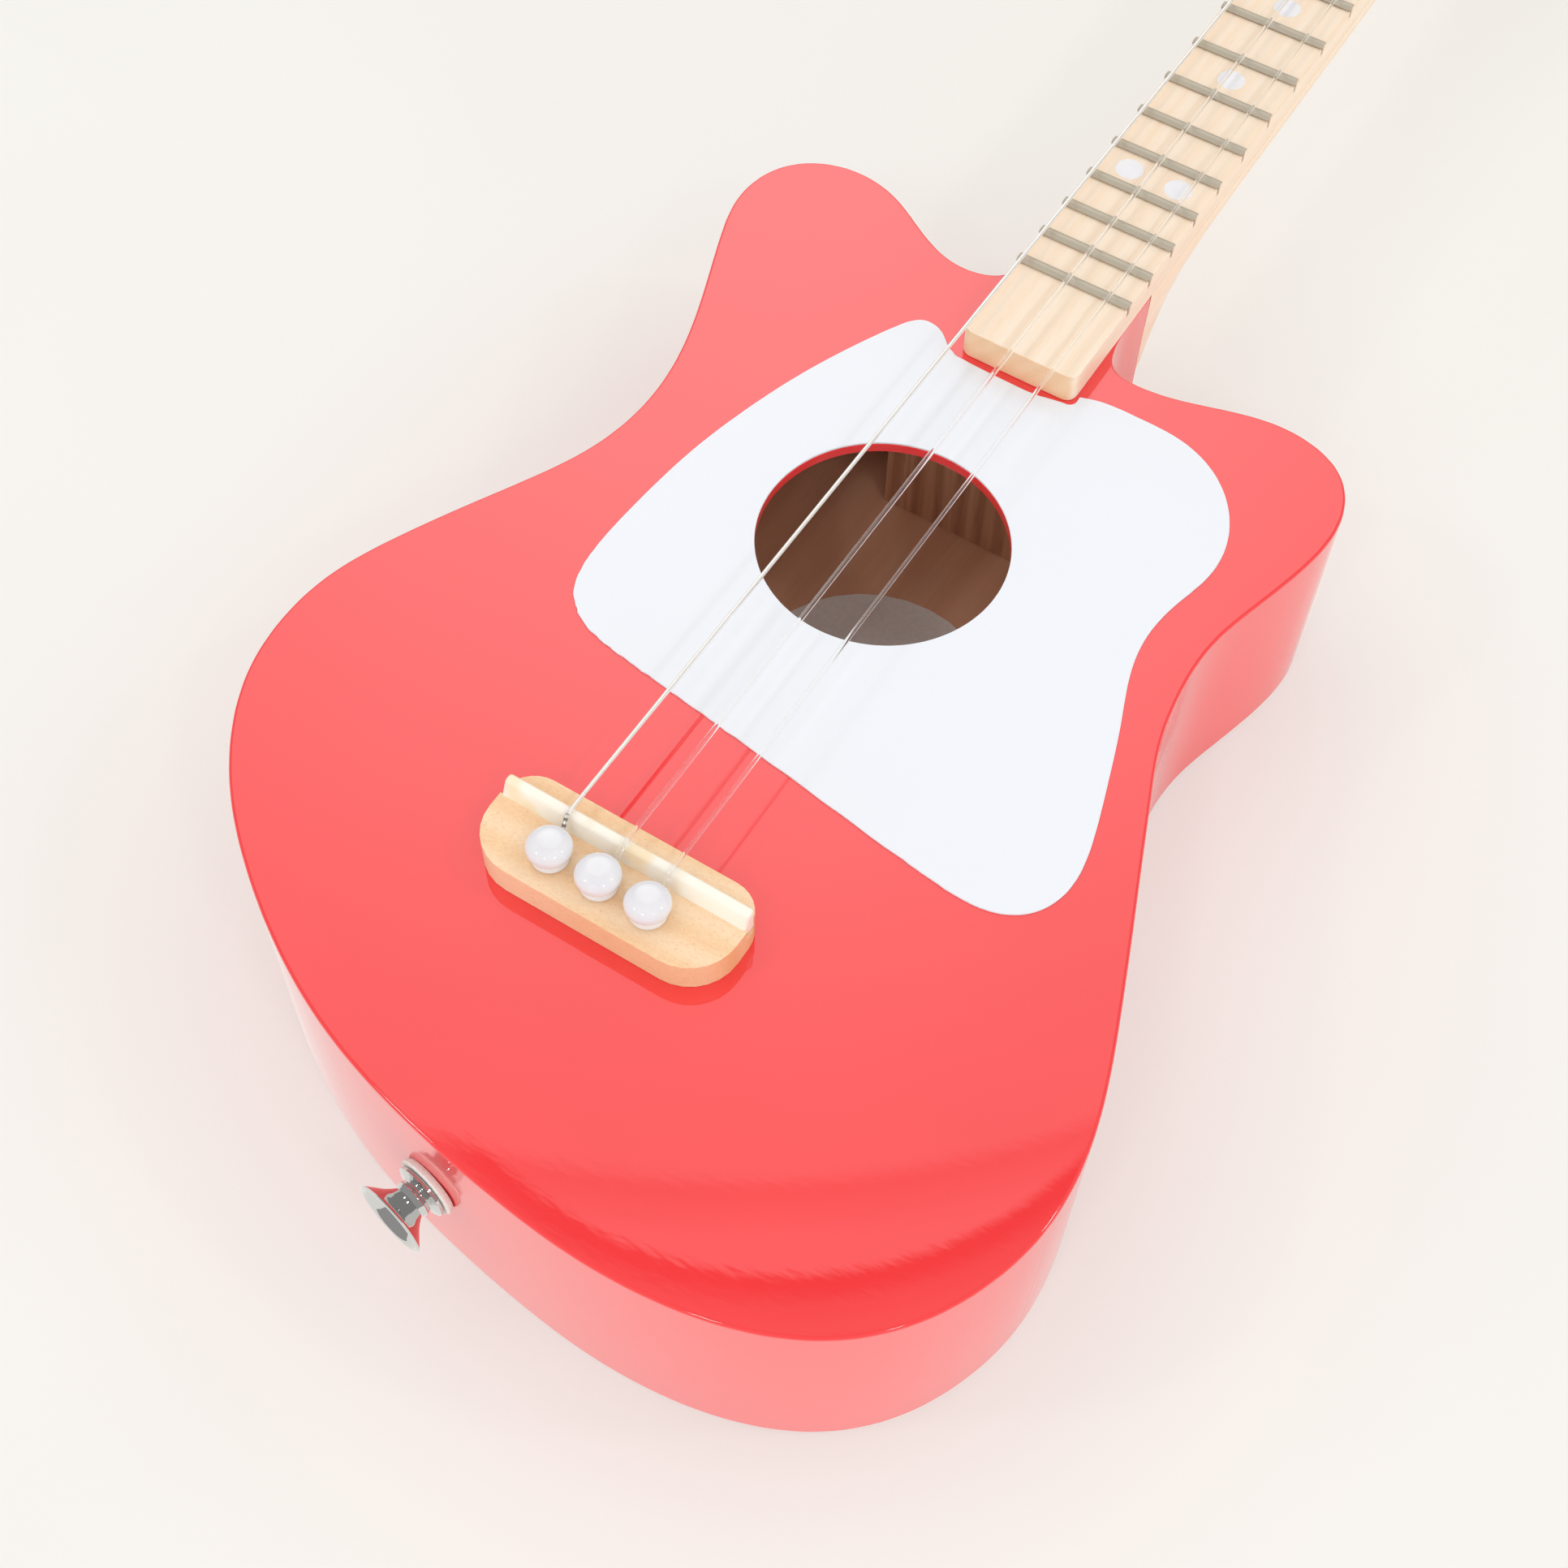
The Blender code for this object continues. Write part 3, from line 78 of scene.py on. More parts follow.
def newMaterial(name, colour, roughness, **sockets):
    material = bpy.data.materials.new(name)
    material.use_nodes = True
    shader = material.node_tree.nodes["Principled BSDF"]
    shader.inputs["Base Color"].default_value = toLinear(colour)
    shader.inputs["Roughness"].default_value = roughness
    for socket, value in sockets.items():
        shader.inputs[socket.replace("_", " ")].default_value = value
    material.diffuse_color = toLinear(colour)
    return material


# Adds a node: each input is a value, a node's output, or a node, which stands for its first
# output. Stops are a ramp's colours
def addNode(owner, kind, inputs={}, stops=(), **attributes):
    node = owner.node_tree.nodes.new("ShaderNode" + kind)
    for name, value in attributes.items():
        setattr(node, name, value)
    for socket, value in inputs.items():
        if isinstance(value, bpy.types.Node):
            value = value.outputs[0]
        if isinstance(value, bpy.types.NodeSocket):
            owner.node_tree.links.new(value, node.inputs[socket])
        else:
            node.inputs[socket].default_value = value
    for number, (position, colour) in enumerate(stops):
        if number > 1:
            node.color_ramp.elements.new(position)
        node.color_ramp.elements[number].position = position
        node.color_ramp.elements[number].color = toLinear(colour)
    return node


def intoShader(material, socket, node):
    source = node.outputs[0] if isinstance(node, bpy.types.Node) else node
    shader = material.node_tree.nodes["Principled BSDF"]
    material.node_tree.links.new(source, shader.inputs[socket])


# Noise of a size in mm, pressed together or drawn out along the axes
def spreadNoise(material, place, sizeMm, stretch=(1, 1, 1), detail=2.0, distortion=0.0):
    run = addNode(material, "Mapping", {"Vector": place, "Scale": stretch})
    return addNode(material, "TexNoise", {"Vector": run, "Detail": detail,
                                          "Scale": 1000 / sizeMm, "Distortion": distortion})


# Clouds of colour; gives back the coordinates and the noise they come from
def cloudColour(material, sizeMm, stops, stretch=(1, 1, 1), detail=2.0, distortion=0.0):
    place = addNode(material, "TexCoord").outputs["Object"]
    noise = spreadNoise(material, place, sizeMm, stretch, detail, distortion)
    tone = addNode(material, "ValToRGB", {"Fac": noise}, stops)
    intoShader(material, "Base Color", tone)
    return place, noise


# Red polyurethane lacquer, sprayed thick and polished: a hard mirror over an even red,
# with the faintest orange peel and a slow change of depth
lacquerLook = {"red": "#F6383B", "deepRed": "#F03437", "patchMm": 60, "peelMm": 1.3,
               "peelStrength": 0.06, "peelDeep": 0.00003, "faceCoat": 0.006, "wallCoat": 0.07}
redLacquer = newMaterial("red_polyurethane_lacquer", lacquerLook["red"], 0.42,
                         Specular_IOR_Level=0.2, Coat_Weight=1.0, Coat_IOR=1.75)
place = cloudColour(redLacquer, lacquerLook["patchMm"],
                    [(0.30, lacquerLook["deepRed"]), (0.70, lacquerLook["red"])])[0]
peel = spreadNoise(redLacquer, place, lacquerLook["peelMm"], (0.35, 1, 1), 1.0)
facing = addNode(redLacquer, "SeparateXYZ", {0: addNode(redLacquer, "TexCoord").outputs["Normal"]})
flat = addNode(redLacquer, "Math", {0: facing.outputs["Z"]}, operation="ABSOLUTE")
level = addNode(redLacquer, "Math", {0: flat, 1: lacquerLook["peelStrength"]},
                operation="MULTIPLY")
ripple = addNode(redLacquer, "Bump", {"Height": peel, "Strength": level,
                                      "Distance": lacquerLook["peelDeep"]})
intoShader(redLacquer, "Coat Normal", ripple)
# The upright walls were rubbed less, so they mirror softer than the level faces
rubbed = addNode(redLacquer, "MapRange", {0: flat, 1: 0.2, 2: 0.9,
                                          3: lacquerLook["wallCoat"], 4: lacquerLook["faceCoat"]})
intoShader(redLacquer, "Coat Roughness", rubbed)


# Wood: year rings as tilted planes, fine fibres along the grain and short flecks
def growWood(name, look, roughness, **sockets):
    wood = newMaterial(name, look["light"], roughness, **sockets)
    spot = addNode(wood, "TexCoord").outputs["Object"]
    turn = addNode(wood, "Mapping", {"Vector": spot, "Location": (0.031, 0.017, 0.023),
                                     "Rotation": [math.radians(a) for a in look["turn"]]})
    drift = spreadNoise(wood, turn, look["driftMm"], (1, 0.10, 1))
    shift = addNode(wood, "VectorMath", {0: drift.outputs["Color"],
                                         "Scale": look["waverMm"] / 1000}, operation="SCALE")
    bent = addNode(wood, "VectorMath", {0: turn, 1: shift}, operation="ADD")
    rings = addNode(wood, "TexWave", {"Vector": bent, "Scale": 314 / look["ringMm"],
                                      "Distortion": 1.0, "Detail": 2.0, "Detail Scale": 0.6},
                    bands_direction="X")
    tone = addNode(wood, "ValToRGB", {"Fac": rings.outputs["Fac"]},
                   [(0.10, look["light"]), (0.95, look["ring"])])
    lines = []
    for size, ratio, low, high, colour, share in (
            (look["fibreMm"], 0.03, 0.35, 0.60, look["fibre"], look["fibreShare"]),
            (look["fleckMm"], look["fleckRatio"], 0.30, 0.42, look["fleck"],
             look["fleckShare"])):
        lines.append(spreadNoise(wood, turn, size, (1, ratio, 1)))
        layer = addNode(wood, "ValToRGB", {"Fac": lines[-1]}, [(low, colour), (high, "#FFFFFF")])
        tone = addNode(wood, "Mix", {0: share, 6: tone, 7: layer}, data_type="RGBA",
                       blend_type="MULTIPLY").outputs[2]
    facing = addNode(wood, "SeparateXYZ", {0: addNode(wood, "TexCoord").outputs["Normal"]})
    ends = addNode(wood, "Math", {0: facing.outputs[look["grainAxis"]]}, operation="ABSOLUTE")
    cut = addNode(wood, "MapRange", {"Value": ends, "From Min": 0.6, "From Max": 0.9})
    endTone = addNode(wood, "Mix", {0: 1.0, 6: tone, 7: toLinear(look["endGrain"])},
                      data_type="RGBA", blend_type="MULTIPLY")
    both = addNode(wood, "Mix", {0: cut, 6: tone, 7: endTone.outputs[2]}, data_type="RGBA")
    intoShader(wood, "Base Color", both.outputs[2])
    pores = addNode(wood, "Bump", {"Height": lines[0], "Strength": 0.15, "Distance": 0.00003})
    intoShader(wood, "Normal", pores)
    return wood


# Hard maple, sanded and sealed: very pale, with quiet rings a few millimetres apart that
# run slantwise over the end grain, and hair-fine pores along the neck
boardMaple = growWood("sealed_maple_fretboard", {
    "light": "#F8E5D0", "ring": "#F6E0C7", "fibre": "#F6EAD8", "fleck": "#F0DDC2",
    "endGrain": "#F6E2CC", "grainAxis": "Y",
    "turn": (0, -38, 0.6), "ringMm": 3.6, "driftMm": 9,
    "waverMm": 2.4, "fibreMm": 0.5, "fleckMm": 0.7, "fleckRatio": 0.10,
    "fibreShare": 0.22, "fleckShare": 0.14}, 0.42)
neckMaple = growWood("sealed_maple_neck", {
    "light": "#FCEAD4", "ring": "#FAE3C8", "fibre": "#F3E6D6", "fleck": "#ECD9C2",
    "endGrain": "#E8CDB4", "grainAxis": "Y",
    "turn": (0, 24, -0.8), "ringMm": 4.5, "driftMm": 12,
    "waverMm": 3.0, "fibreMm": 0.6, "fleckMm": 0.8, "fleckRatio": 0.10,
    "fibreShare": 0.20, "fleckShare": 0.12}, 0.40)
# Beech, sanded and thinly oiled: warm, with the short dark flecks of its rays, which are
# drawn half as dense as real ones so that they show
bridgeBeech = growWood("oiled_beech_bridge", {
    "light": "#F9DAB6", "ring": "#F5CFA4", "fibre": "#F2DCC0", "fleck": "#DDAF84",
    "endGrain": "#FBEBDC", "grainAxis": "X",
    "turn": (0, 20, 84), "ringMm": 6.5, "driftMm": 10,
    "waverMm": 3.0, "fibreMm": 0.45, "fleckMm": 0.26, "fleckRatio": 0.35,
    "fibreShare": 0.25, "fleckShare": 0.32}, 0.45)
# Raw basswood ply and pine inside: the closed box darkens them to brown; the pine block
# shows its end-glued grain upright
innerPly = growWood("raw_basswood_ply", {
    "light": "#F0BB98", "ring": "#EDB592", "fibre": "#EED6C4", "fleck": "#E2C0A6",
    "endGrain": "#E0B08C", "grainAxis": "Y",
    "turn": (0, 0, 1.5), "ringMm": 9.0, "driftMm": 20, "waverMm": 5.0,
    "fibreMm": 0.9, "fleckMm": 1.2, "fleckRatio": 0.08, "fibreShare": 0.15,
    "fleckShare": 0.12}, 0.65)
blockPine = growWood("raw_pine_block", {
    "light": "#DDA886", "ring": "#C18C6C", "fibre": "#DDBCA4", "fleck": "#BC9076",
    "endGrain": "#FFFFFF", "grainAxis": "Z",
    "turn": (90, 0, 0), "ringMm": 5.0, "driftMm": 16, "waverMm": 4.0,
    "fibreMm": 0.9, "fleckMm": 1.4, "fleckRatio": 0.08, "fibreShare": 0.35,
    "fleckShare": 0.3}, 0.7)

# Rigid vinyl sheet, calendered: a cool white with a soft sheen, a little uneven
guardVinyl = newMaterial("white_vinyl_sheet", "#E9ECF2", 0.32, Specular_IOR_Level=0.45)
place = addNode(guardVinyl, "TexCoord").outputs["Object"]
haze = spreadNoise(guardVinyl, place, 14)
gloss = addNode(guardVinyl, "MapRange", {"Value": haze, "To Min": 0.24, "To Max": 0.38})
intoShader(guardVinyl, "Roughness", gloss)
waves = addNode(guardVinyl, "Bump", {"Height": haze, "Strength": 0.04, "Distance": 0.0002})
intoShader(guardVinyl, "Normal", waves)

# ABS, moulded and polished: dense white, wet-looking
pinAbs = newMaterial("polished_white_abs", "#E7E6EA", 0.10, Coat_Weight=0.5, Coat_Roughness=0.02)
cloudColour(pinAbs, 3.0, [(0.3, "#E1E0E5"), (0.7, "#E7E6E9")])

# Bone-coloured melamine, sawn and lightly buffed: cream with warm amber clouds
saddleIvory = newMaterial("buffed_ivory_melamine", "#F8F1E2", 0.38,
                          Subsurface_Weight=0.08, Subsurface_Scale=0.002)
place = cloudColour(saddleIvory, 9.0, [(0.36, "#F8E4C2"), (0.50, "#FBF5E8")], detail=1.0)[0]
marks = spreadNoise(saddleIvory, place, 0.8, (1, 1, 0.2), 1.0)
rub = addNode(saddleIvory, "Bump", {"Height": marks, "Strength": 0.25, "Distance": 0.00006})
intoShader(saddleIvory, "Normal", rub)

# Pearled celluloid on the tuner buttons: soft grey-white swirls under a gloss
buttonPearl = newMaterial("pearled_celluloid", "#E9E6DF", 0.14, Coat_Weight=0.5,
                          Coat_Roughness=0.03)
cloudColour(buttonPearl, 5.0, [(0.35, "#D5D1C8"), (0.6, "#F1EFEA")], (1, 2.5, 1), 3.0, 1.5)


# Metals: a tint, a roughness that drifts, and the marks left by how each was made
def castMetal(name, colour, smooth, rough, markMm, stretch, markBump, metallic=1.0):
    metal = newMaterial(name, colour, (smooth + rough) / 2, Metallic=metallic)
    spot = addNode(metal, "TexCoord").outputs["Object"]
    marks = spreadNoise(metal, spot, markMm, stretch)
    wear = addNode(metal, "MapRange", {"Value": marks, "To Min": smooth, "To Max": rough})
    intoShader(metal, "Roughness", wear)
    cuts = addNode(metal, "Bump", {"Height": marks, "Strength": markBump, "Distance": 0.00003})
    intoShader(metal, "Normal", cuts)
    return metal


# Chrome plate, polished: a cool mirror with faint handling haze
chromePlate = castMetal("polished_chrome_plate", "#DADAD9", 0.02, 0.09, 1.6, (1, 1, 1), 0.04)
# Nickel silver, rolled and rubbed dull: grey-beige, with a soft broken shine
fretNickel = castMetal("rubbed_nickel_silver", "#C8BEAC", 0.45, 0.60, 0.5, (0.2, 1, 1), 0.25, 0.5)
# Nickel plate on pressed steel: warm grey, slightly clouded
plateNickel = castMetal("nickel_plated_steel", "#BDB9B0", 0.18, 0.34, 1.2, (1, 0.4, 1), 0.10)
# Brass, hobbed and left bare: yellow with dull cut faces
gearBrass = castMetal("hobbed_brass", "#C9A25C", 0.24, 0.42, 0.6, (1, 1, 0.3), 0.20)

# Wool felt, punched: off-white, fuzzy, with no shine
washerFelt = newMaterial("punched_wool_felt", "#ECE8E2", 0.95, Sheen_Weight=0.4)
fuzz = cloudColour(washerFelt, 0.25, [(0.35, "#E4DED7"), (0.65, "#F4F1EC")], detail=3.0)[1]
nap = addNode(washerFelt, "Bump", {"Height": fuzz, "Strength": 0.4, "Distance": 0.0001})
intoShader(washerFelt, "Normal", nap)

# Uncoated paper, left blank: off-white with loose fibres
labelPaper = newMaterial("uncoated_paper", "#F8F1EB", 0.85)
cloudColour(labelPaper, 0.8, [(0.3, "#F5ECE5"), (0.7, "#FCF6F1")], detail=3.0)

# Extruded nylon line: clear, with bright edges and a gloss that wanders a little
clearNylon = newMaterial("extruded_clear_nylon", "#FDFCFB", 0.02, Transmission_Weight=1.0,
                         IOR=1.5)
place = addNode(clearNylon, "TexCoord").outputs["Object"]
milk = spreadNoise(clearNylon, place, 4.0, (1, 0.1, 1))
gloss = addNode(clearNylon, "MapRange", {"Value": milk, "To Min": 0.0, "To Max": 0.03})
intoShader(clearNylon, "Roughness", gloss)

# Silver-plated wire wound round a core: the turns are 0.12 mm apart, too fine to show, so
# they are drawn 0.3 mm apart, each lighter at its crest and darker in its groove, painted shade
# between the turns. "along" is the length along the string, and in the short dark stretch before
# the saddle the winding is loose, each of its turns 1.1 mm long, with painted shade in the gaps
woundLook = {"turnMm": 0.3, "looseTurnMm": 1.1, "looseFrom": 0.0172, "looseTo": 0.0205}
woundSilver = newMaterial("wound_silver_plate", "#F8F5EE", 0.24, Metallic=0.5)
along = addNode(woundSilver, "Attribute", attribute_name="along").outputs["Fac"]
waves = []
for turn in (woundLook["turnMm"], woundLook["looseTurnMm"]):
    turns = addNode(woundSilver, "Math", {0: along, 1: 2000 * math.pi / turn},
                    operation="MULTIPLY")
    wires = addNode(woundSilver, "Math", {0: turns}, operation="SINE")
    waves.append(addNode(woundSilver, "MapRange", {"Value": wires, "From Min": -1.0}))
# each turn's tone: lighter at the crest, painted shade in the groove between turns
silver = addNode(woundSilver, "ValToRGB", {"Fac": waves[0]}, [(0.0, "#F1EDE4"), (0.6, "#FEFCF8")])
# loose stretch: drawn darker, its dark stripes painted shade in the gaps between the loose turns
looseGapShade = addNode(woundSilver, "ValToRGB", {"Fac": waves[1]}, [(0.25, "#8C857D"), (0.7, "#EAE5DC")])
past = addNode(woundSilver, "Math", {0: along, 1: woundLook["looseFrom"]},
               operation="GREATER_THAN")
before = addNode(woundSilver, "Math", {0: along, 1: woundLook["looseTo"]}, operation="LESS_THAN")
loose = addNode(woundSilver, "Math", {0: past, 1: before}, operation="MULTIPLY")
wire = addNode(woundSilver, "Mix", {0: loose, 6: silver, 7: looseGapShade}, data_type="RGBA")
intoShader(woundSilver, "Base Color", wire.outputs[2])
ridges = addNode(woundSilver, "Bump", {"Height": waves[0], "Strength": 0.08,
                                       "Distance": 0.00004})
intoShader(woundSilver, "Normal", ridges)

# Painted studio floor: near white, with a trace of dust. Seen straight on or in a mirror it is
# lifted towards white and keeps part of the shadow. Mirrors see it glow whitest before the tail,
# a painted reflection with nothing lying there, and far off it fades into the backdrop
floorLook = {"dustMm": 180, "lift": 0.45, "fadeFrom": 0.9, "fadeTo": 3.0}
floorPaint = newMaterial("pale_studio_floor", "#F1F0EC", 0.75, Specular_IOR_Level=0.2)
place = cloudColour(floorPaint, floorLook["dustMm"], [(0.35, "#EFEDE9"), (0.65, "#F3F2EE")],
                    detail=3.0)[0]
path = addNode(floorPaint, "LightPath").outputs
straight = addNode(floorPaint, "Math", {0: path["Is Camera Ray"], 1: path["Is Transmission Ray"]},
                   operation="MAXIMUM")
away = addNode(floorPaint, "VectorMath", {0: place}, operation="LENGTH")
fade = addNode(floorPaint, "MapRange", {0: away.outputs["Value"], 1: floorLook["fadeFrom"],
                                        2: floorLook["fadeTo"], 3: floorLook["lift"], 4: 1.0})
part = addNode(floorPaint, "Math", {0: straight, 1: fade}, operation="MULTIPLY")
# glossy rays alone see the floor glow, most before the tail: a painted reflection
across = addNode(floorPaint, "VectorMath", {0: place, 1: (1, 1, 0)}, operation="DOT_PRODUCT")
mirrorGlowPatch = addNode(floorPaint, "MapRange", {"Value": across.outputs["Value"], "From Min": 0.02,
                                        "From Max": 0.10, "To Min": 0.95, "To Max": 0.20})
share = addNode(floorPaint, "Math", {0: path["Is Glossy Ray"], 1: mirrorGlowPatch, 2: part},
                operation="MULTIPLY_ADD")
white = addNode(floorPaint, "Emission", {"Color": toLinear("#F6F4F0")})
tree = floorPaint.node_tree
surface = addNode(floorPaint, "MixShader", {0: share, 1: tree.nodes["Principled BSDF"], 2: white})
tree.links.new(surface.outputs["Shader"], tree.nodes["Material Output"].inputs["Surface"])
print("materials made")


# Modelling: small helpers
def pickOnly(obj):
    if bpy.context.object and bpy.context.object.mode != "OBJECT":
        bpy.ops.object.mode_set(mode="OBJECT")
    bpy.ops.object.select_all(action="DESELECT")
    obj.select_set(True)
    bpy.context.view_layer.objects.active = obj


def openEdit(obj, mode="VERT"):
    pickOnly(obj)
    bpy.ops.object.mode_set(mode="EDIT")
    if obj.type == "MESH":
        bpy.ops.mesh.select_mode(type=mode)
        bpy.ops.mesh.select_all(action="DESELECT")


def closeEdit(smoothAngle=35):
    bpy.ops.mesh.select_all(action="SELECT")
    bpy.ops.mesh.normals_make_consistent(inside=False)
    bpy.ops.object.mode_set(mode="OBJECT")
    if smoothAngle:
        bpy.ops.object.shade_smooth_by_angle(angle=math.radians(smoothAngle))


# Writes an object's place, turn and size into its mesh
def bakePlace(obj):
    pickOnly(obj)
    bpy.ops.object.transform_apply(location=True, rotation=True, scale=True)


def mergeClose(distance=1e-6):
    bpy.ops.mesh.select_all(action="SELECT")
    bpy.ops.mesh.remove_doubles(threshold=distance)


def paintWith(mesh, paints):
    mesh.materials.clear()
    for paint in paints:
        mesh.materials.append(paint)


def applyModifier(obj, kind, **settings):
    pickOnly(obj)
    modifier = obj.modifiers.new("step", kind)
    for key, value in settings.items():
        setattr(modifier, key, value)
    bpy.ops.object.modifier_apply(modifier=modifier.name)


def combine(obj, other, operation="DIFFERENCE"):
    applyModifier(obj, "BOOLEAN", object=other, operation=operation, solver="EXACT")
    bpy.data.objects.remove(other, do_unlink=True)


# Places a piece for good: shading weighted to its flat faces, then its name, materials and body,
# and the nodes it replaces are hidden. The body is that of the node that it replaces, or of one
# that it is like
def settle(obj, name, paints, replaced=(), smoothAngle=35, like=None):
    like = like or replaced[0]
    bakePlace(obj)
    bpy.ops.object.shade_smooth_by_angle(angle=math.radians(smoothAngle))
    applyModifier(obj, "WEIGHTED_NORMAL", keep_sharp=True, weight=100)
    obj.name = name
    obj.data.name = name
    if len(obj.data.materials) != len(paints):
        paintWith(obj.data, paints)
    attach(obj, bodyOf[like])
    if replaced:
        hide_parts(*replaced)


# Loops of edges at one height that border an upright wall of a CAD node, widest first
def rimLoops(nodeName, height):
    shape = bmesh.new()
    shape.from_mesh(nodes[nodeName].data)
    bmesh.ops.remove_doubles(shape, verts=shape.verts, dist=1e-6)
    shape.normal_update()
    steps = {}
    for edge in shape.edges:
        level = all(abs(vert.co.z - height) < 1e-5 for vert in edge.verts)
        if level and any(abs(face.normal.z) < 0.6 for face in edge.link_faces):
            first, second = edge.verts
            steps.setdefault(first, []).append(second)
            steps.setdefault(second, []).append(first)
    loops = []
    while steps:
        start = next(iter(steps))
        loop, last = [start], None
        while True:
            onward = [vert for vert in steps[loop[-1]] if vert != last]
            last = loop[-1]
            if not onward or onward[0] == start:
                break
            loop.append(onward[0])
        for vert in loop:
            steps.pop(vert, None)
        loops.append([vert.co.xy.copy() for vert in loop])
    shape.free()
    return sorted(loops, key=lambda loop: max(point.x for point in loop), reverse=True)


# Moves a closed outline inwards by a hair
def shrinkLoop(loop, distance):
    area = sum(a.cross(b) for a, b in zip(loop, loop[1:] + loop[:1]))
    inward = 1 if area > 0 else -1
    moved = []
    for i, point in enumerate(loop):
        way = (loop[(i + 1) % len(loop)] - loop[i - 1]).normalized()
        moved.append(point + Vector((-way.y, way.x)) * distance * inward)
    return moved


# Flat solid through smooth outlines: a curve is drawn, filled, raised and made a mesh
def raiseOutline(loops, low, high, steps):
    bpy.ops.curve.primitive_bezier_circle_add(location=(0, 0, (low + high) / 2))
    obj = bpy.context.object
    line = obj.data
    line.splines.clear()
    line.dimensions = "2D"
    line.fill_mode = "BOTH"
    line.extrude = (high - low) / 2
    line.resolution_u = steps
    corners = []
    for loop in loops:
        spline = line.splines.new("BEZIER")
        spline.bezier_points.add(len(loop) - 1)
        spline.use_cyclic_u = True
        for i, (point, target) in enumerate(zip(loop, spline.bezier_points)):
            target.co = (point.x, point.y, 0)
            onward = loop[(i + 1) % len(loop)] - point
            corners.append((point - loop[i - 1]).angle(onward) > math.radians(40))
    bpy.ops.object.mode_set(mode="EDIT")
    bpy.ops.curve.select_all(action="SELECT")
    bpy.ops.curve.handle_type_set(type="AUTOMATIC")
    bpy.ops.curve.select_all(action="DESELECT")
    points = [point for spline in line.splines for point in spline.bezier_points]
    for point, corner in zip(points, corners):
        point.select_control_point = corner
        point.select_left_handle = corner
        point.select_right_handle = corner
    if any(corners):
        bpy.ops.curve.handle_type_set(type="VECTOR")
    bpy.ops.object.mode_set(mode="OBJECT")
    bpy.ops.object.convert(target="MESH")
    obj = bpy.context.object
    openEdit(obj, "FACE")
    mergeClose()
    shape = bmesh.from_edit_mesh(obj.data)
    for face in shape.faces:
        face.select_set(abs(face.normal.z) > 0.9)
    bpy.ops.mesh.dissolve_limited(angle_limit=math.radians(0.1))
    closeEdit(0)
    bakePlace(obj)
    return obj


# Bevels the edges that pass a test
def roundEdges(obj, test, width, segments=3):
    openEdit(obj, "EDGE")
    shape = bmesh.from_edit_mesh(obj.data)
    for edge in shape.edges:
        edge.select_set(bool(test(edge)))
    bmesh.update_edit_mesh(obj.data)
    bpy.ops.mesh.bevel(offset=width, segments=segments, profile=0.5, clamp_overlap=True)
    closeEdit()


def atHeight(height):
    return lambda edge: all(abs(vert.co.z - height) < 1e-5 for vert in edge.verts) \
        and any(abs(face.normal.z) < 0.5 for face in edge.link_faces)


# For easeEdges: brings the underside of a glued piece down to what it sits on
def glueDown(vert):
    if abs(vert.co.z - topZ - gap) < 1e-5:
        vert.co.z = topZ + glue


# Merged copy of a CAD node, fitted and with its edges eased, standing in the node's place
def easeEdges(nodeName, width, paints, segments=2, smoothAngle=38, fit=None):
    obj = bpy.data.objects.new(nodeName + "_eased", nodes[nodeName].data.copy())
    bpy.context.scene.collection.objects.link(obj)
    obj.data.materials.clear()
    openEdit(obj, "EDGE")
    mergeClose()
    bpy.ops.mesh.customdata_custom_splitnormals_clear()
    bpy.ops.mesh.dissolve_limited(angle_limit=math.radians(0.3))
    if fit:
        shape = bmesh.from_edit_mesh(obj.data)
        for vert in shape.verts:
            fit(vert)
        bmesh.update_edit_mesh(obj.data)
    bpy.ops.mesh.select_all(action="DESELECT")
    if width:
        bpy.ops.mesh.edges_select_sharp(sharpness=math.radians(smoothAngle))
        bpy.ops.mesh.bevel(offset=width, segments=segments, profile=0.5, clamp_overlap=True)
    closeEdit(smoothAngle)
    settle(obj, nodeName + "_eased", paints, [nodeName], smoothAngle)


# Turns upright into an axis and moves to a place
def standAlong(axis, place):
    way = Vector((0, 0, 1)).rotation_difference(Vector(axis)).to_matrix().to_4x4()
    way.translation = Vector(place)
    return way


# Turned piece: a point is drawn out along the profile, then spun round the axis
def turnPiece(profile, place, axis=(0, 0, 1), steps=48):
    bpy.ops.mesh.primitive_plane_add(size=0.001)
    obj = bpy.context.object
    openEdit(obj)
    bpy.ops.mesh.select_all(action="SELECT")
    bpy.ops.mesh.merge(type="CENTER")
    spot = Vector((profile[0][0], 0, profile[0][1]))
    bpy.ops.transform.translate(value=spot)
    for radius, height in profile[1:]:
        onward = Vector((radius, 0, height))
        bpy.ops.mesh.extrude_region_move(TRANSFORM_OT_translate={"value": onward - spot})
        spot = onward
    bpy.ops.mesh.select_all(action="SELECT")
    bpy.ops.mesh.spin(steps=steps, angle=2 * math.pi, center=(0, 0, 0), axis=(0, 0, 1))
    mergeClose(2e-6)
    closeEdit()
    obj.matrix_world = standAlong(axis, place)
    bakePlace(obj)
    return obj


# Passes a smooth line through a few profile points
def softLine(points, count):
    line = []
    last = len(points) - 1
    for i in range(last):
        a, b, c, d = [Vector(points[max(0, min(last, i + k))]) for k in (-1, 0, 1, 2)]
        for step in range(count):
            t = step / count
            line.append(0.5 * ((2 * b) + (c - a) * t + (2 * a - 5 * b + 4 * c - d) * t * t
                               + (3 * b - a - 3 * c + d) * t ** 3))
    line.append(Vector(points[-1]))
    return [(max(0.0, p.x), p.y) for p in line]


# Box for cutting slots, turned about a piece's own axis
def slotBox(place, size, axis=(0, 0, 1), turn=0):
    bpy.ops.mesh.primitive_cube_add(size=1)
    obj = bpy.context.object
    spin = Matrix.Rotation(math.radians(turn), 4, "Z")
    obj.matrix_world = standAlong(axis, place) @ spin @ Matrix.Diagonal((*size, 1))
    bakePlace(obj)
    return obj


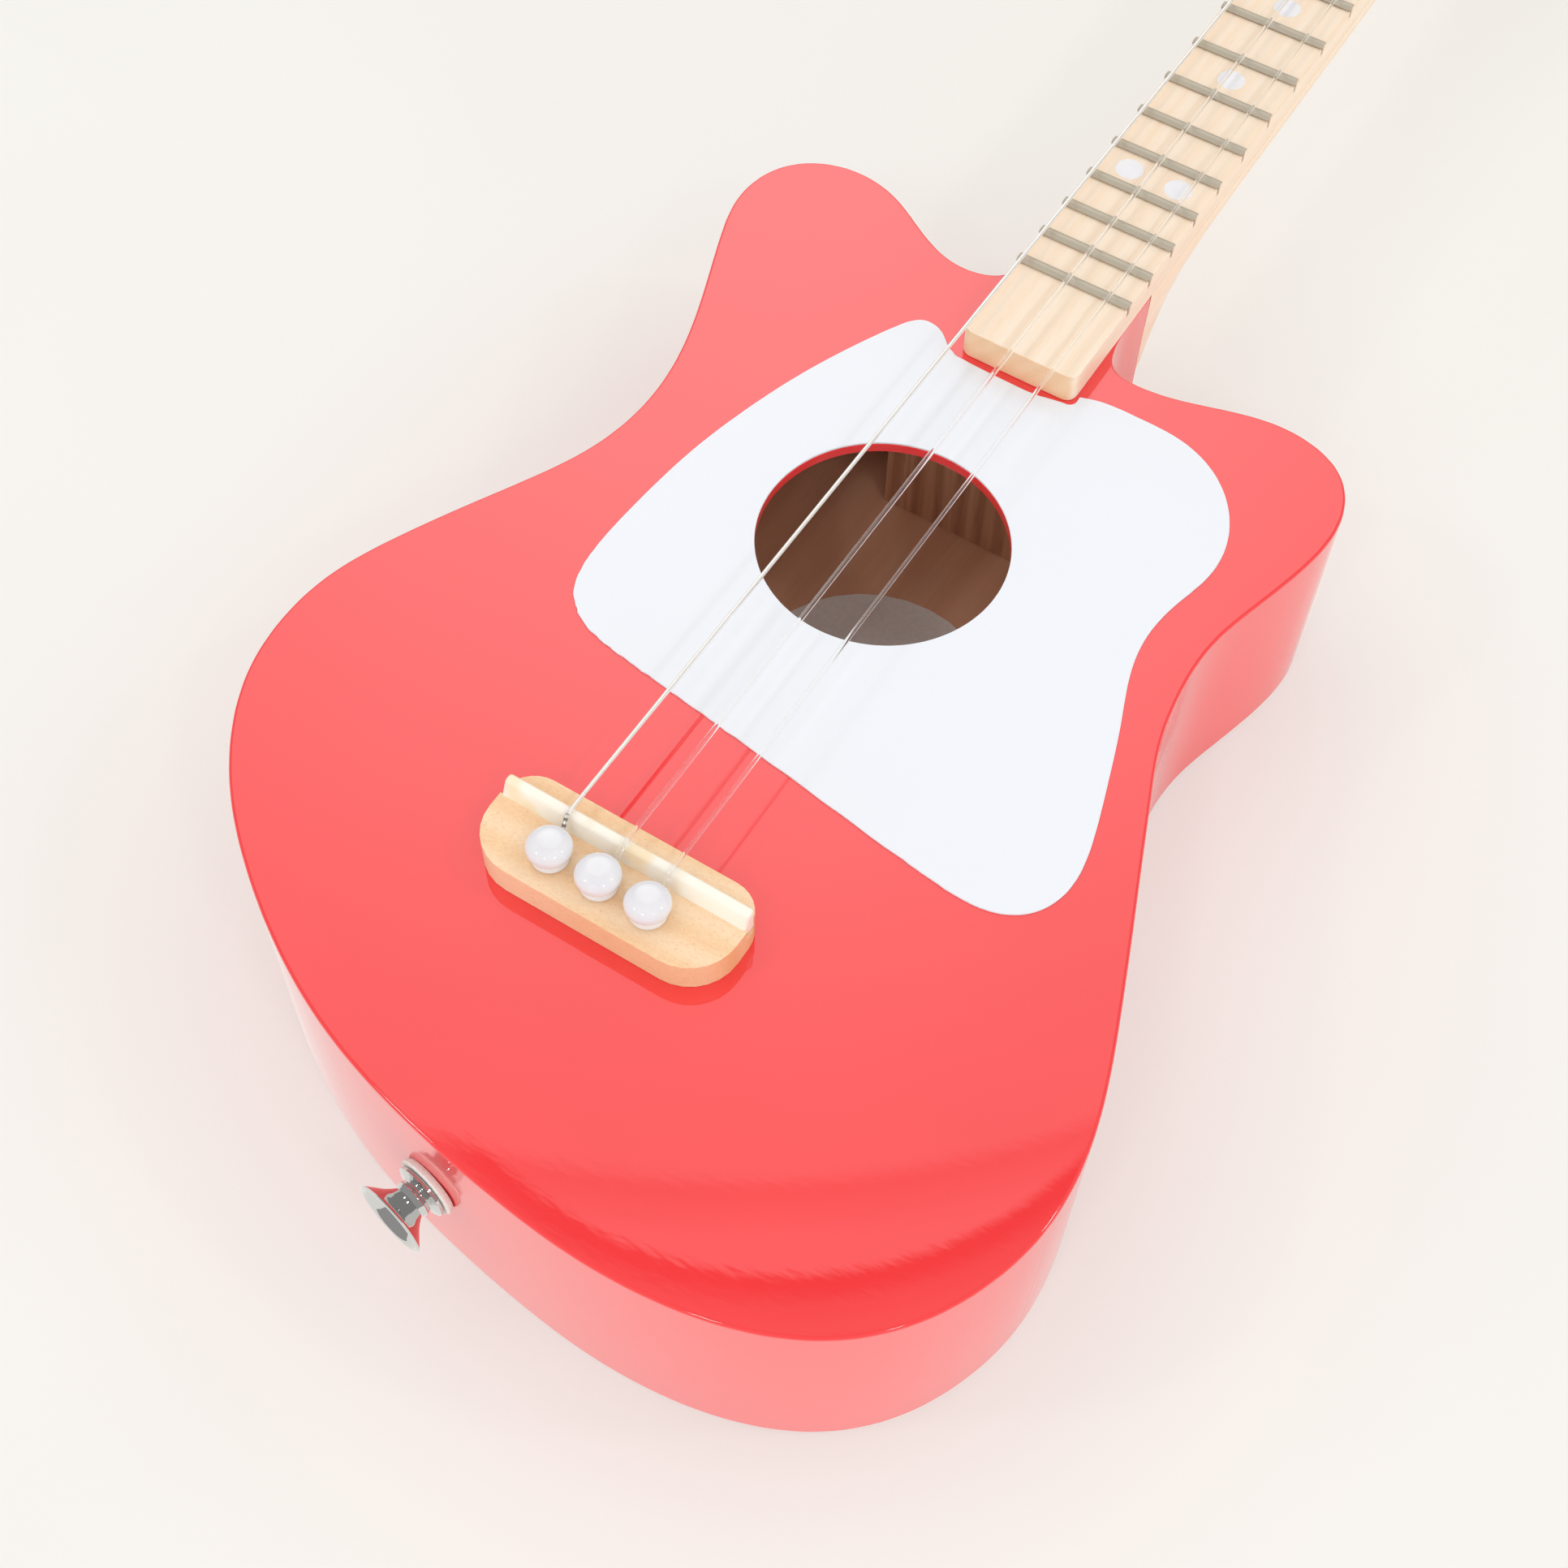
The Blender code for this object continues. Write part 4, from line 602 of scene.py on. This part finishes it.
def drill(obj, radius, place, depth=0.02, vertices=32, rotation=(0, 0, 0)):
    bpy.ops.mesh.primitive_cylinder_add(vertices=vertices, radius=radius, depth=depth,
                                        location=place, rotation=rotation)
    combine(obj, bpy.context.object)


# Body: one lacquered shell with a hollow inside
bodyLook = {"edgeRadius": 0.0014, "edgeSegments": 4, "outlineSteps": 8, "holeEdge": 0.0006,
            "skin": 0.0022, "holeRadius": 0.0245, "holePlace": (-0.0007, 0.0868),
            "pinHole": 0.0029, "inset": 0.00007, "sideWall": 0.0021}
strapLook = {"place": (-0.0022, -0.058057, 0.0262), "outwards": (-0.205416, -0.978675, 0.0),
             "screwHole": 0.0017}
skin = bodyLook["skin"]
holeSpot = Vector(bodyLook["holePlace"])
strapSpot = Vector(strapLook["place"])
outwards = Vector(strapLook["outwards"])
hollow = rimLoops("body_sides", topZ - skin - gap)[-1]
shell = raiseOutline([shrinkLoop(rimLoops("back_plate", skin)[0], bodyLook["inset"])], 0, topZ,
                     bodyLook["outlineSteps"])
roundEdges(shell, lambda edge: atHeight(0)(edge) or atHeight(topZ)(edge),
           bodyLook["edgeRadius"], bodyLook["edgeSegments"])
combine(shell, raiseOutline([hollow], skin, topZ - skin, 2))
drill(shell, bodyLook["holeRadius"], (*holeSpot, topZ), vertices=96)
pinPlaces = [(-0.0008 + k * 0.01005, -0.0074) for k in (-1, 0, 1)]
for x, y in pinPlaces:
    drill(shell, bodyLook["pinHole"], (x, y, topZ))
screwWay = Vector((0, 0, 1)).rotation_difference(outwards).to_euler()
drill(shell, strapLook["screwHole"], strapSpot, rotation=screwWay)
paintWith(shell.data, [redLacquer, innerPly])
walls = KDTree(len(hollow))
for i, point in enumerate(hollow):
    walls.insert((point.x, point.y, 0), i)
walls.balance()
for face in shell.data.polygons:
    spots = [shell.data.vertices[i].co for i in face.vertices]
    inside = all(skin - 1e-5 < spot.z < topZ - skin + 1e-5 for spot in spots)
    level = abs(face.normal.z) > 0.9
    nearest = min(walls.find((spot.x, spot.y, 0))[2] for spot in spots)
    face.material_index = int(inside and (level or nearest < bodyLook["sideWall"]))
roundEdges(shell, lambda edge: atHeight(topZ)(edge) and all(
    abs((vert.co.xy - holeSpot).length - bodyLook["holeRadius"]) < 1e-4
    for vert in edge.verts), bodyLook["holeEdge"], 3)
settle(shell, "lacquered_body", [redLacquer, innerPly],
       ["soundboard", "body_sides", "back_plate"])
print("body made")

# Pickguard: a thin sheet, its lower edge left a little ragged by the cutter
guardLook = {"steps": 5, "solidThick": 0.0007, "thick": 0.0004, "edgeEase": 0.00012,
             "burr": 0.00011, "burrMm": 1.3, "burrCornerMm": (52, 64), "burrFadeMm": 12,
             "smoothRound": 0.026, "boardCorner": (0.01046, 0.1394), "tuck": 0.0009,
             "tuckReach": 0.0050, "tuckBlend": 0.0030}
guardTop = topZ + glue + guardLook["thick"]
guardLoops = rimLoops("pickguard", topZ + gap + guardLook["solidThick"])
corner = Vector(guardLook["boardCorner"])
blend = guardLook["tuckBlend"]
for point in guardLoops[0]:
    # the sheet runs closer to the board at its treble corner
    reach = point - corner
    if reach.length < guardLook["tuckReach"] and reach.y < 0.0005 and reach.x > -blend:
        share = min(1.0, (reach.x + blend) / blend)
        point -= reach.normalized() * guardLook["tuck"] * share
guard = raiseOutline(guardLoops, topZ + glue, guardTop, guardLook["steps"])
rightEnd, topEnd = guardLook["burrCornerMm"]
for vert in guard.data.vertices:
    x, y = vert.co.x * 1000, vert.co.y * 1000
    if y < topEnd and x < rightEnd and (vert.co.xy - holeSpot).length > guardLook["smoothRound"]:
        wave = math.sin((x + 0.4 * y) * 6.28 / guardLook["burrMm"]) * math.sin(x * 2.9 + y * 1.7)
        fade = min(1.0, (topEnd - y) / guardLook["burrFadeMm"]) \
            * min(1.0, (rightEnd - x) / guardLook["burrFadeMm"])
        vert.co += Vector((0.6, 1.0, 0)) * guardLook["burr"] * wave * max(0.0, fade)
roundEdges(guard, atHeight(guardTop), guardLook["edgeEase"], 2)
settle(guard, "pickguard_sheet", [guardVinyl], ["pickguard"])
print("pickguard made")

# Bridge, saddle and the three pins
bridgeLook = {"ease": 0.00035, "slotHalf": 0.0019, "closedHalf": 0.00128, "thick": 0.00685,
              "saddleEase": 0.00070, "saddleRise": 0.0099}
bridgeTop = topZ + bridgeLook["thick"]


# For easeEdges: the bridge is glued down and its slot closed up to the saddle
def closeSlot(vert):
    glueDown(vert)
    if abs(abs(vert.co.y) - bridgeLook["slotHalf"]) < 1e-5:
        vert.co.y = math.copysign(bridgeLook["closedHalf"], vert.co.y)


easeEdges("bridge", bridgeLook["ease"], [bridgeBeech], fit=closeSlot)
easeEdges("saddle", bridgeLook["saddleEase"], [saddleIvory], 4)
pinLook = {"grooveStart": 0.0060, "groove": (0.0080, 0.0156),
           "head": [(0, .0056), (.0018, .00555), (.0030, .0052), (.0038, .0045),
                    (.00412, .0037), (.0040, .0030), (.0037, .0025), (.0032, .0022)],
           "collar": [(.0031, .0020), (.0032, .0014), (.0034, .0008), (.0034, .0004),
                      (.0032, gap), (.0024, gap)],
           "tip": [(.0020, -.0126), (.0017, -.0134), (.0010, -.0138), (0, -.0138)]}
start = pinLook["grooveStart"]
for name, (x, y), radius in zip(stringNames, pinPlaces, stringRadii):
    pin = turnPiece(softLine(pinLook["head"], 3) + pinLook["collar"] + pinLook["tip"],
                    (x, y, bridgeTop))
    reach = radius + gap
    combine(pin, slotBox((x, y + start - reach, bridgeTop - start),
                         (2 * reach, *pinLook["groove"])))
    settle(pin, "glossy_pin_" + name, [pinAbs], ["bridge_pin_" + name], 45)
print("bridge made")

# Strap button, its felt washer and its screw, turned about the screw's own axis
strapLook |= {
    "slotAt": 0.0070, "slot": (0.0032, 0.0006, 0.0016),
    "recess": [(.0017, .0053), (.0030, .0053), (.0034, .0056), (.0045, .0068), (.0057, .0084),
               (.0061, .0090), (.0065, .0093), (.0070, .00925), (.0073, .0090)],
    "flare": [(.0071, .00875), (.0060, .0078), (.0047, .0067), (.0038, .0057), (.0033, .0050)],
    "neck": [(.0034, .0045), (.0036, .0041), (.0036, .0037), (.0034, .0034), (.0034, .0031),
             (.0037, .0028), (.0047, .0026), (.0053, .0023), (.0053, .0018), (.0051, .0016),
             (.0017, .0016), (.0017, .0053)],
    "washer": [(.0017, glue), (.0017, .0014), (.0057, .0014), (.0060, .0011), (.0060, .0005),
               (.0057, glue), (.0017, glue)],
    "screw": [(0, .0072), (.0012, .0071), (.0022, .0066), (.0026, .0059), (.0027, .0056),
              (.0014, .0056), (.0014, -.0089), (0, -.0119)]}
button = turnPiece(softLine(strapLook["recess"], 5) + softLine(strapLook["flare"], 4)
                   + strapLook["neck"], strapSpot, outwards, steps=96)
settle(button, "turned_strap_button", [chromePlate], ["strap_button"], 50)
washer = turnPiece(strapLook["washer"], strapSpot, outwards, steps=56)
settle(washer, "felt_washer", [washerFelt], ["strap_button_washer"])
screw = turnPiece(strapLook["screw"], strapSpot, outwards, steps=32)
for turn in (0, 90):
    combine(screw, slotBox(strapSpot + outwards * strapLook["slotAt"], strapLook["slot"],
                           outwards, turn))
settle(screw, "crosshead_screw", [chromePlate], ["strap_button_screw"])
print("strap button made")

# Neck, fretboard, frets, nut and position dots
easeEdges("neck", 0.0006, [neckMaple], 3)
easeEdges("fretboard", 0.0003, [boardMaple], fit=glueDown)
easeEdges("nut", 0.0003, [saddleIvory])
for number in range(1, 16):
    easeEdges("fret_{:02d}".format(number), 0.00012, [fretNickel])
boardLook = {"thick": 0.0066, "scaleLength": 0.375, "scaleStart": 0.0025}
boardTop = topZ + gap + boardLook["thick"]
dotLook = {"radius": 0.0030, "proud": 0.00002, "depth": 0.0004, "ease": 0.00005, "pair": 0.0057,
           "frets": [(3, 1), (5, 1), (7, 1), (9, 1), (12, 2)]}


def fretPlace(number):
    return boardLook["scaleLength"] * 2 ** (-number / 12) + boardLook["scaleStart"]


for number, count in dotLook["frets"]:
    y = (fretPlace(number) + fretPlace(number - 1)) / 2
    for x in ((0,) if count == 1 else (-dotLook["pair"], dotLook["pair"])):
        high = boardTop + dotLook["proud"]
        bpy.ops.mesh.primitive_cylinder_add(vertices=48, radius=dotLook["radius"],
                                            depth=dotLook["depth"],
                                            location=(x, y, high - dotLook["depth"] / 2))
        dot = bpy.context.object
        bakePlace(dot)
        roundEdges(dot, atHeight(high), dotLook["ease"], 2)
        side = "" if count == 1 else ("_bass" if x < 0 else "_treble")
        settle(dot, "position_dot_{:02d}{}".format(number, side), [pinAbs], like="pickguard")
print("neck made")

# Strings: the same way as the solid ones, rounder, and the turns on the posts
stringLook = {"saddleX": (-0.0119, -0.0004, 0.0092), "nutX": (-0.0098, -0.0003, 0.0083),
              "nutRise": 0.0083, "ball": 0.0017, "inHole": 0.0020, "plateThick": 0.0020,
              "waist": 0.0025, "wrapRise": 0.0040, "wrapAngle": 300, "wrapSteps": 28,
              "coilLift": 0.0010, "coilGap": 0.0005, "coilTurns": 2, "coilSteps": 40}
posts = [(-0.0125, 0.405, -1), (-0.0125, 0.436, -1), (0.0125, 0.405, 1)]
nutNear, nutFar = 0.3775, 0.3820
plateLow = topZ - skin - gap - stringLook["plateThick"]


# Round cord through points, swept from a curve; "along" holds the length for patterns
def sweepCord(points, radius, spacing):
    line = []
    for first, second in zip(points, points[1:]):
        a, b = Vector(first), Vector(second)
        count = max(1, round((b - a).length / spacing))
        line += [a.lerp(b, step / count) for step in range(count)]
    line.append(Vector(points[-1]))
    bpy.ops.curve.primitive_bezier_curve_add()
    curve = bpy.context.object.data
    curve.splines.clear()
    curve.dimensions = "3D"
    curve.bevel_depth = radius
    curve.bevel_resolution = 4
    curve.use_fill_caps = True
    spline = curve.splines.new("POLY")
    spline.points.add(len(line) - 1)
    for target, point in zip(spline.points, line):
        target.co = (*point, 1)
    pickOnly(bpy.context.object)
    bpy.ops.object.convert(target="MESH")
    obj = bpy.context.object
    openEdit(obj)
    mergeClose()
    closeEdit(60)
    tree = KDTree(len(line))
    lengths = [0.0]
    for i, point in enumerate(line):
        tree.insert(point, i)
        if i:
            lengths.append(lengths[-1] + (point - line[i - 1]).length)
    tree.balance()
    layer = obj.data.attributes.new("along", "FLOAT", "POINT")
    for i, vert in enumerate(obj.data.vertices):
        layer.data[i].value = lengths[tree.find(vert.co)[1]]
    return obj


for k, (name, radius) in enumerate(zip(stringNames, stringRadii)):
    pinX, pinY = pinPlaces[k]
    holeY = pinY + stringLook["inHole"]
    rest = topZ + bridgeLook["saddleRise"] + gap + radius
    nutZ = topZ + stringLook["nutRise"] + gap + radius
    saddleX, nutX = stringLook["saddleX"][k], stringLook["nutX"][k]
    ball = Vector((pinX, holeY + 0.0022, plateLow - gap - stringLook["ball"]))
    points = [ball, (pinX, holeY + 0.0008, plateLow - 0.0006),
              (pinX, holeY, plateLow + 0.0006), (pinX, holeY, bridgeTop - 0.0003),
              (pinX, holeY + 0.0002, bridgeTop + 0.0003),
              (pinX, holeY + 0.0009, bridgeTop + 0.0009),
              ((pinX + saddleX) / 2, (holeY - 0.0003) / 2, bridgeTop / 2 + rest / 2 + 0.0002),
              (saddleX, -0.0007, rest - 0.0001), (saddleX, 0.0001, rest), (saddleX, 0.0016, rest),
              (nutX, nutNear, nutZ), (nutX, nutFar, nutZ)]
    postX, postY, side = posts[k]
    ring = stringLook["waist"] + gap + radius
    way = Vector((nutX, nutFar)) - Vector((postX, postY))
    first = math.atan2(way.y, way.x) - side * math.acos(ring / way.length)
    wrapZ = topZ + stringLook["wrapRise"]
    for step in range(stringLook["wrapSteps"] + 1):
        angle = first - side * math.radians(stringLook["wrapAngle"]) * step \
            / stringLook["wrapSteps"]
        points.append((postX + ring * math.cos(angle), postY + ring * math.sin(angle), wrapZ))
    paint = woundSilver if k == 0 else clearNylon
    cord = sweepCord(points, radius, 0.004 if k else 0.0006)
    bpy.ops.mesh.primitive_uv_sphere_add(segments=16, ring_count=8, radius=stringLook["ball"],
                                         location=ball)
    combine(cord, bpy.context.object, "UNION")
    settle(cord, "strung_" + name, [paint], ["string_" + name], 60)
    low = wrapZ + 2 * radius + stringLook["coilLift"]
    pitch = 2 * radius + stringLook["coilGap"]
    around = stringLook["coilSteps"]
    coil = []
    for step in range(stringLook["coilTurns"] * around + 1):
        angle = first - side * 2 * math.pi * step / around
        coil.append(Vector((postX + ring * math.cos(angle), postY + ring * math.sin(angle),
                            low + pitch * step / around)))
    coil = [coil[0] + (coil[0] - coil[1]).normalized() * 2 * radius] + coil
    coil.append(coil[-1] + (coil[-1] - coil[-2]).normalized() * 2 * radius)
    settle(sweepCord(coil, radius, 0.01), "turns_" + name, [paint], ["winding_" + name], 60)
print("strings made")

# Tuners: each profile is counted from the piece's own seat, the post's from the world's zero
tunerLook = {"plateLow": 0.0315, "gearZ": 0.0285, "gearHalf": 0.0015, "faceZ": topZ - 0.004,
             "wormAway": 0.0064, "postRise": 0.0112, "buttonX": 0.041, "bossX": 0.0305,
             "buttonSize": (0.0130, 0.0140, 0.0060), "screwX": 0.0053, "screwY": -0.0042,
             "plateSlot": (0.0024, 0.0004, 0.0007), "plateSlotDrop": 0.0009,
             "gearSlot": (0.0036, 0.0005, 0.0008), "gearSlotDrop": 0.0010,
             "eyeRadius": 0.0008, "eyeDrop": 0.0030, "eyeDepth": 0.010,
             "bushing": [(.0035, .00075), (.0040, .0008), (.0047, .0006), (.0048, .0003),
                         (.0048, glue), (.0039, glue), (.0039, -.0040), (.0035, -.0040),
                         (.0035, .00075)],
             "plateScrew": [(0, -.0009), (.0007, -.00085), (.0012, -.0006), (.0014, -.0002),
                            (.0014, 0), (.0007, 0), (.0007, .0050), (0, .0066)],
             "gearScrew": [(0, -.0010), (.0010, -.0009), (.0019, -.0005), (.0021, -.0001),
                           (.0021, -.00003), (0, -.00003)],
             "boss": [(0, .0020), (.0024, .0020), (.0026, .0022), (.0026, .0060), (0, .0060)]}
gearZ = tunerLook["gearZ"]
gearLow = gearZ - tunerLook["gearHalf"]
postTop = topZ + tunerLook["postRise"]
postProfile = [(0, postTop), (.0021, postTop), (.0026, postTop - .00012),
               (.0029, postTop - .0004), (.0030, postTop - .0008), (.0030, postTop - .0014),
               (.00285, postTop - .0017), (.0025, postTop - .0021), (.0025, topZ + .0029),
               (.0028, topZ + .0025), (.0030, topZ + .0021), (.0030, .0352), (.0028, .0350),
               (.0022, .0346), (.0022, gearZ + .0018), (.0016, gearZ + .0018),
               (.0016, gearLow), (0, gearLow)]
for k, name in enumerate(stringNames):
    x, y, side = posts[k]
    easeEdges("tuner_plate_" + name, 0.00018, [plateNickel])
    easeEdges("worm_shaft_" + name, 0, [plateNickel], smoothAngle=50)
    easeEdges("post_gear_" + name, 0.00008, [gearBrass])
    settle(turnPiece(tunerLook["bushing"], (x, y, tunerLook["faceZ"])), "post_bushing_" + name,
           [plateNickel], like="tuner_plate_" + name)
    for mark, offset in (("near", -1), ("far", 1)):
        spot = Vector((x + offset * tunerLook["screwX"], y + tunerLook["screwY"],
                       tunerLook["plateLow"]))
        head = turnPiece(tunerLook["plateScrew"], spot, steps=24)
        combine(head, slotBox(spot - Vector((0, 0, tunerLook["plateSlotDrop"])),
                              tunerLook["plateSlot"]))
        settle(head, "plate_screw_{}_{}".format(name, mark), [plateNickel],
               like="tuner_plate_" + name)
    # post: waisted where the string lies, drilled across for its end
    post = turnPiece(postProfile, (x, y, 0), steps=40)
    drill(post, tunerLook["eyeRadius"], (x, y, postTop - tunerLook["eyeDrop"]),
          tunerLook["eyeDepth"], 20, (0, math.pi / 2, 0))
    settle(post, "turned_post_" + name, [chromePlate], ["string_post_" + name])
    gearScrew = turnPiece(tunerLook["gearScrew"], (x, y, gearLow), steps=28)
    combine(gearScrew, slotBox((x, y, gearLow - tunerLook["gearSlotDrop"]),
                               tunerLook["gearSlot"]))
    settle(gearScrew, "gear_screw_" + name, [plateNickel], like="post_gear_" + name)
    # button: a flattened bead on a short boss, pressed on the shaft
    wormY = y + tunerLook["wormAway"]
    bpy.ops.mesh.primitive_uv_sphere_add(segments=40, ring_count=20, radius=0.5,
                                         location=(side * tunerLook["buttonX"], wormY, gearZ))
    knob = bpy.context.object
    knob.scale = tunerLook["buttonSize"]
    bakePlace(knob)
    boss = turnPiece(tunerLook["boss"], (side * tunerLook["bossX"], wormY, gearZ),
                     (side, 0, 0), steps=32)
    combine(knob, boss, "UNION")
    settle(knob, "pearl_button_" + name, [buttonPearl], ["tuner_button_" + name], 40)
print("tuners made")

# CAD nodes that stay, with their real finishes
kept = {"neck_block": blockPine, "tail_block": blockPine, "top_lining": innerPly,
        "back_lining": innerPly, "upper_top_brace": blockPine, "lower_top_brace": blockPine,
        "back_brace": blockPine, "bridge_plate": blockPine, "paper_label": labelPaper}
for nodeName, paint in kept.items():
    paintWith(nodes[nodeName].data, [paint])

# Floor and lamps: two softboxes and a broad fill from the camera's side, which mirrors don't
# see, and four small windows that give the pins their highlights
roomLook = {"floorSize": 30.0, "overhead": 0.42, "horizon": 1.38, "left": 4.1, "right": 2.6,
            "fill": 3.8, "windows": 0.8, "windowSize": 0.10, "windowAway": 1.27, "backdrop": 0.95,
            "discOne": (-0.3883, 0.6099, 0.6912), "edgeOne": 0.9155, "softOne": 0.0022,
            "glowOne": (1.0, 2.15),
            "discTwo": (-0.2581, 0.4407, 0.8598), "edgeTwo": 0.98365, "softTwo": 0.0006,
            "glowTwo": (0.58, 0.95), "glowSpan": (0.9135, 0.9050)}
bpy.ops.mesh.primitive_plane_add(size=roomLook["floorSize"], location=(0, 0, -0.0002))
floor = bpy.context.object
floor.name = "studio_floor"
floor.data.materials.append(floorPaint)
middle = Vector((0, 0.05, 0.04))
flatRight = Vector((right.x, right.y, 0)).normalized()
flatUp = Vector((up.x, up.y, 0)).normalized()


# Lamp towards a direction seen in the picture, at an elevation and distance
def addLamp(name, across, upwards, elevation, distance, size, power):
    flat = (flatRight * across + flatUp * upwards).normalized()
    tilt = math.radians(elevation)
    spot = middle + (flat * math.cos(tilt) + Vector((0, 0, math.sin(tilt)))) * distance
    bpy.ops.object.light_add(type="AREA", location=spot)
    lamp = bpy.context.object
    lamp.name = name
    lamp.data.size = size
    lamp.data.energy = power
    lamp.rotation_euler = (spot - middle).to_track_quat("Z", "Y").to_euler()
    return lamp


addLamp("softbox_left", -0.8, 0.6, 66, 1.8, 1.1, roomLook["left"]).visible_glossy = False
addLamp("softbox_right", 0.9, 0.3, 55, 1.8, 1.1, roomLook["right"]).visible_glossy = False
addLamp("fill", 0.1, -1.0, 22, 1.6, 1.2, roomLook["fill"]).visible_glossy = False
for number, (across, upwards) in enumerate(((-1.0, -0.25), (-0.45, -0.9), (0.45, -0.9),
                                            (1.0, -0.15))):
    addLamp("window_{}".format(number), across, upwards, 48, roomLook["windowAway"],
            roomLook["windowSize"], roomLook["windows"])

# The world gives even light, brighter low down. Mirrors see a dim room with a bright round
# reflector beyond the neck and a dimmer one round it, and it is darkest right beside that
world = bpy.data.worlds.new("studio")
bpy.context.scene.world = world
world.use_nodes = True
direction = addNode(world, "TexCoord").outputs["Generated"]
towards, shares = [], []
for disc in ("One", "Two"):
    edge, soft = roomLook["edge" + disc], roomLook["soft" + disc]
    facing = addNode(world, "VectorMath", {0: direction, 1: roomLook["disc" + disc]},
                     operation="DOT_PRODUCT")
    towards.append(facing.outputs["Value"])
    share = addNode(world, "MapRange", {0: towards[-1], 1: edge - soft, 2: edge + soft},
                    interpolation_type="SMOOTHSTEP")
    shares.append(share)
spread = addNode(world, "MapRange", {0: towards[1], 1: 0.90, 2: 1.0})
room = addNode(world, "ValToRGB", {"Fac": spread},
               [(0.20, "#A2A2A2"), (0.62, "#606060"), (0.76, "#606060"), (0.792, "#BCBCBC"),
                (0.812, "#9C9C9C"), (0.826, "#313131"), (0.836, "#282828")])
two = addNode(world, "MapRange", {0: towards[0], 1: roomLook["glowSpan"][0],
                                  2: roomLook["glowSpan"][1], 3: roomLook["glowTwo"][0],
                                  4: roomLook["glowTwo"][1]})
withTwo = addNode(world, "Mix", {0: shares[1], 6: room, 7: two}, data_type="RGBA")
nearer = addNode(world, "MapRange", {0: towards[0], 1: roomLook["edgeOne"], 2: 1.0})
curved = addNode(world, "Math", {0: nearer, 1: 1.5}, operation="POWER")
one = addNode(world, "MapRange", {0: curved, 3: roomLook["glowOne"][0],
                                  4: roomLook["glowOne"][1]})
mirror = addNode(world, "Mix", {0: shares[0], 6: withTwo.outputs[2], 7: one}, data_type="RGBA")
height = addNode(world, "SeparateXYZ", {0: direction}).outputs["Z"]
path = addNode(world, "LightPath")
even = addNode(world, "MapRange", {"Value": height, "To Min": roomLook["horizon"],
                                   "To Max": roomLook["overhead"]})
seen = addNode(world, "Mix", {0: path.outputs["Is Glossy Ray"], 2: even, 3: mirror.outputs[2]})
clear = addNode(world, "Math", {0: path.outputs["Is Camera Ray"],
                                1: path.outputs["Is Transmission Ray"]}, operation="MAXIMUM")
level = addNode(world, "Mix", {0: clear, 2: seen, 3: roomLook["backdrop"]})
background = world.node_tree.nodes["Background"]
world.node_tree.links.new(level.outputs[0], background.inputs["Strength"])
background.inputs["Color"].default_value = toLinear("#FFFEFC")
print("room lit")
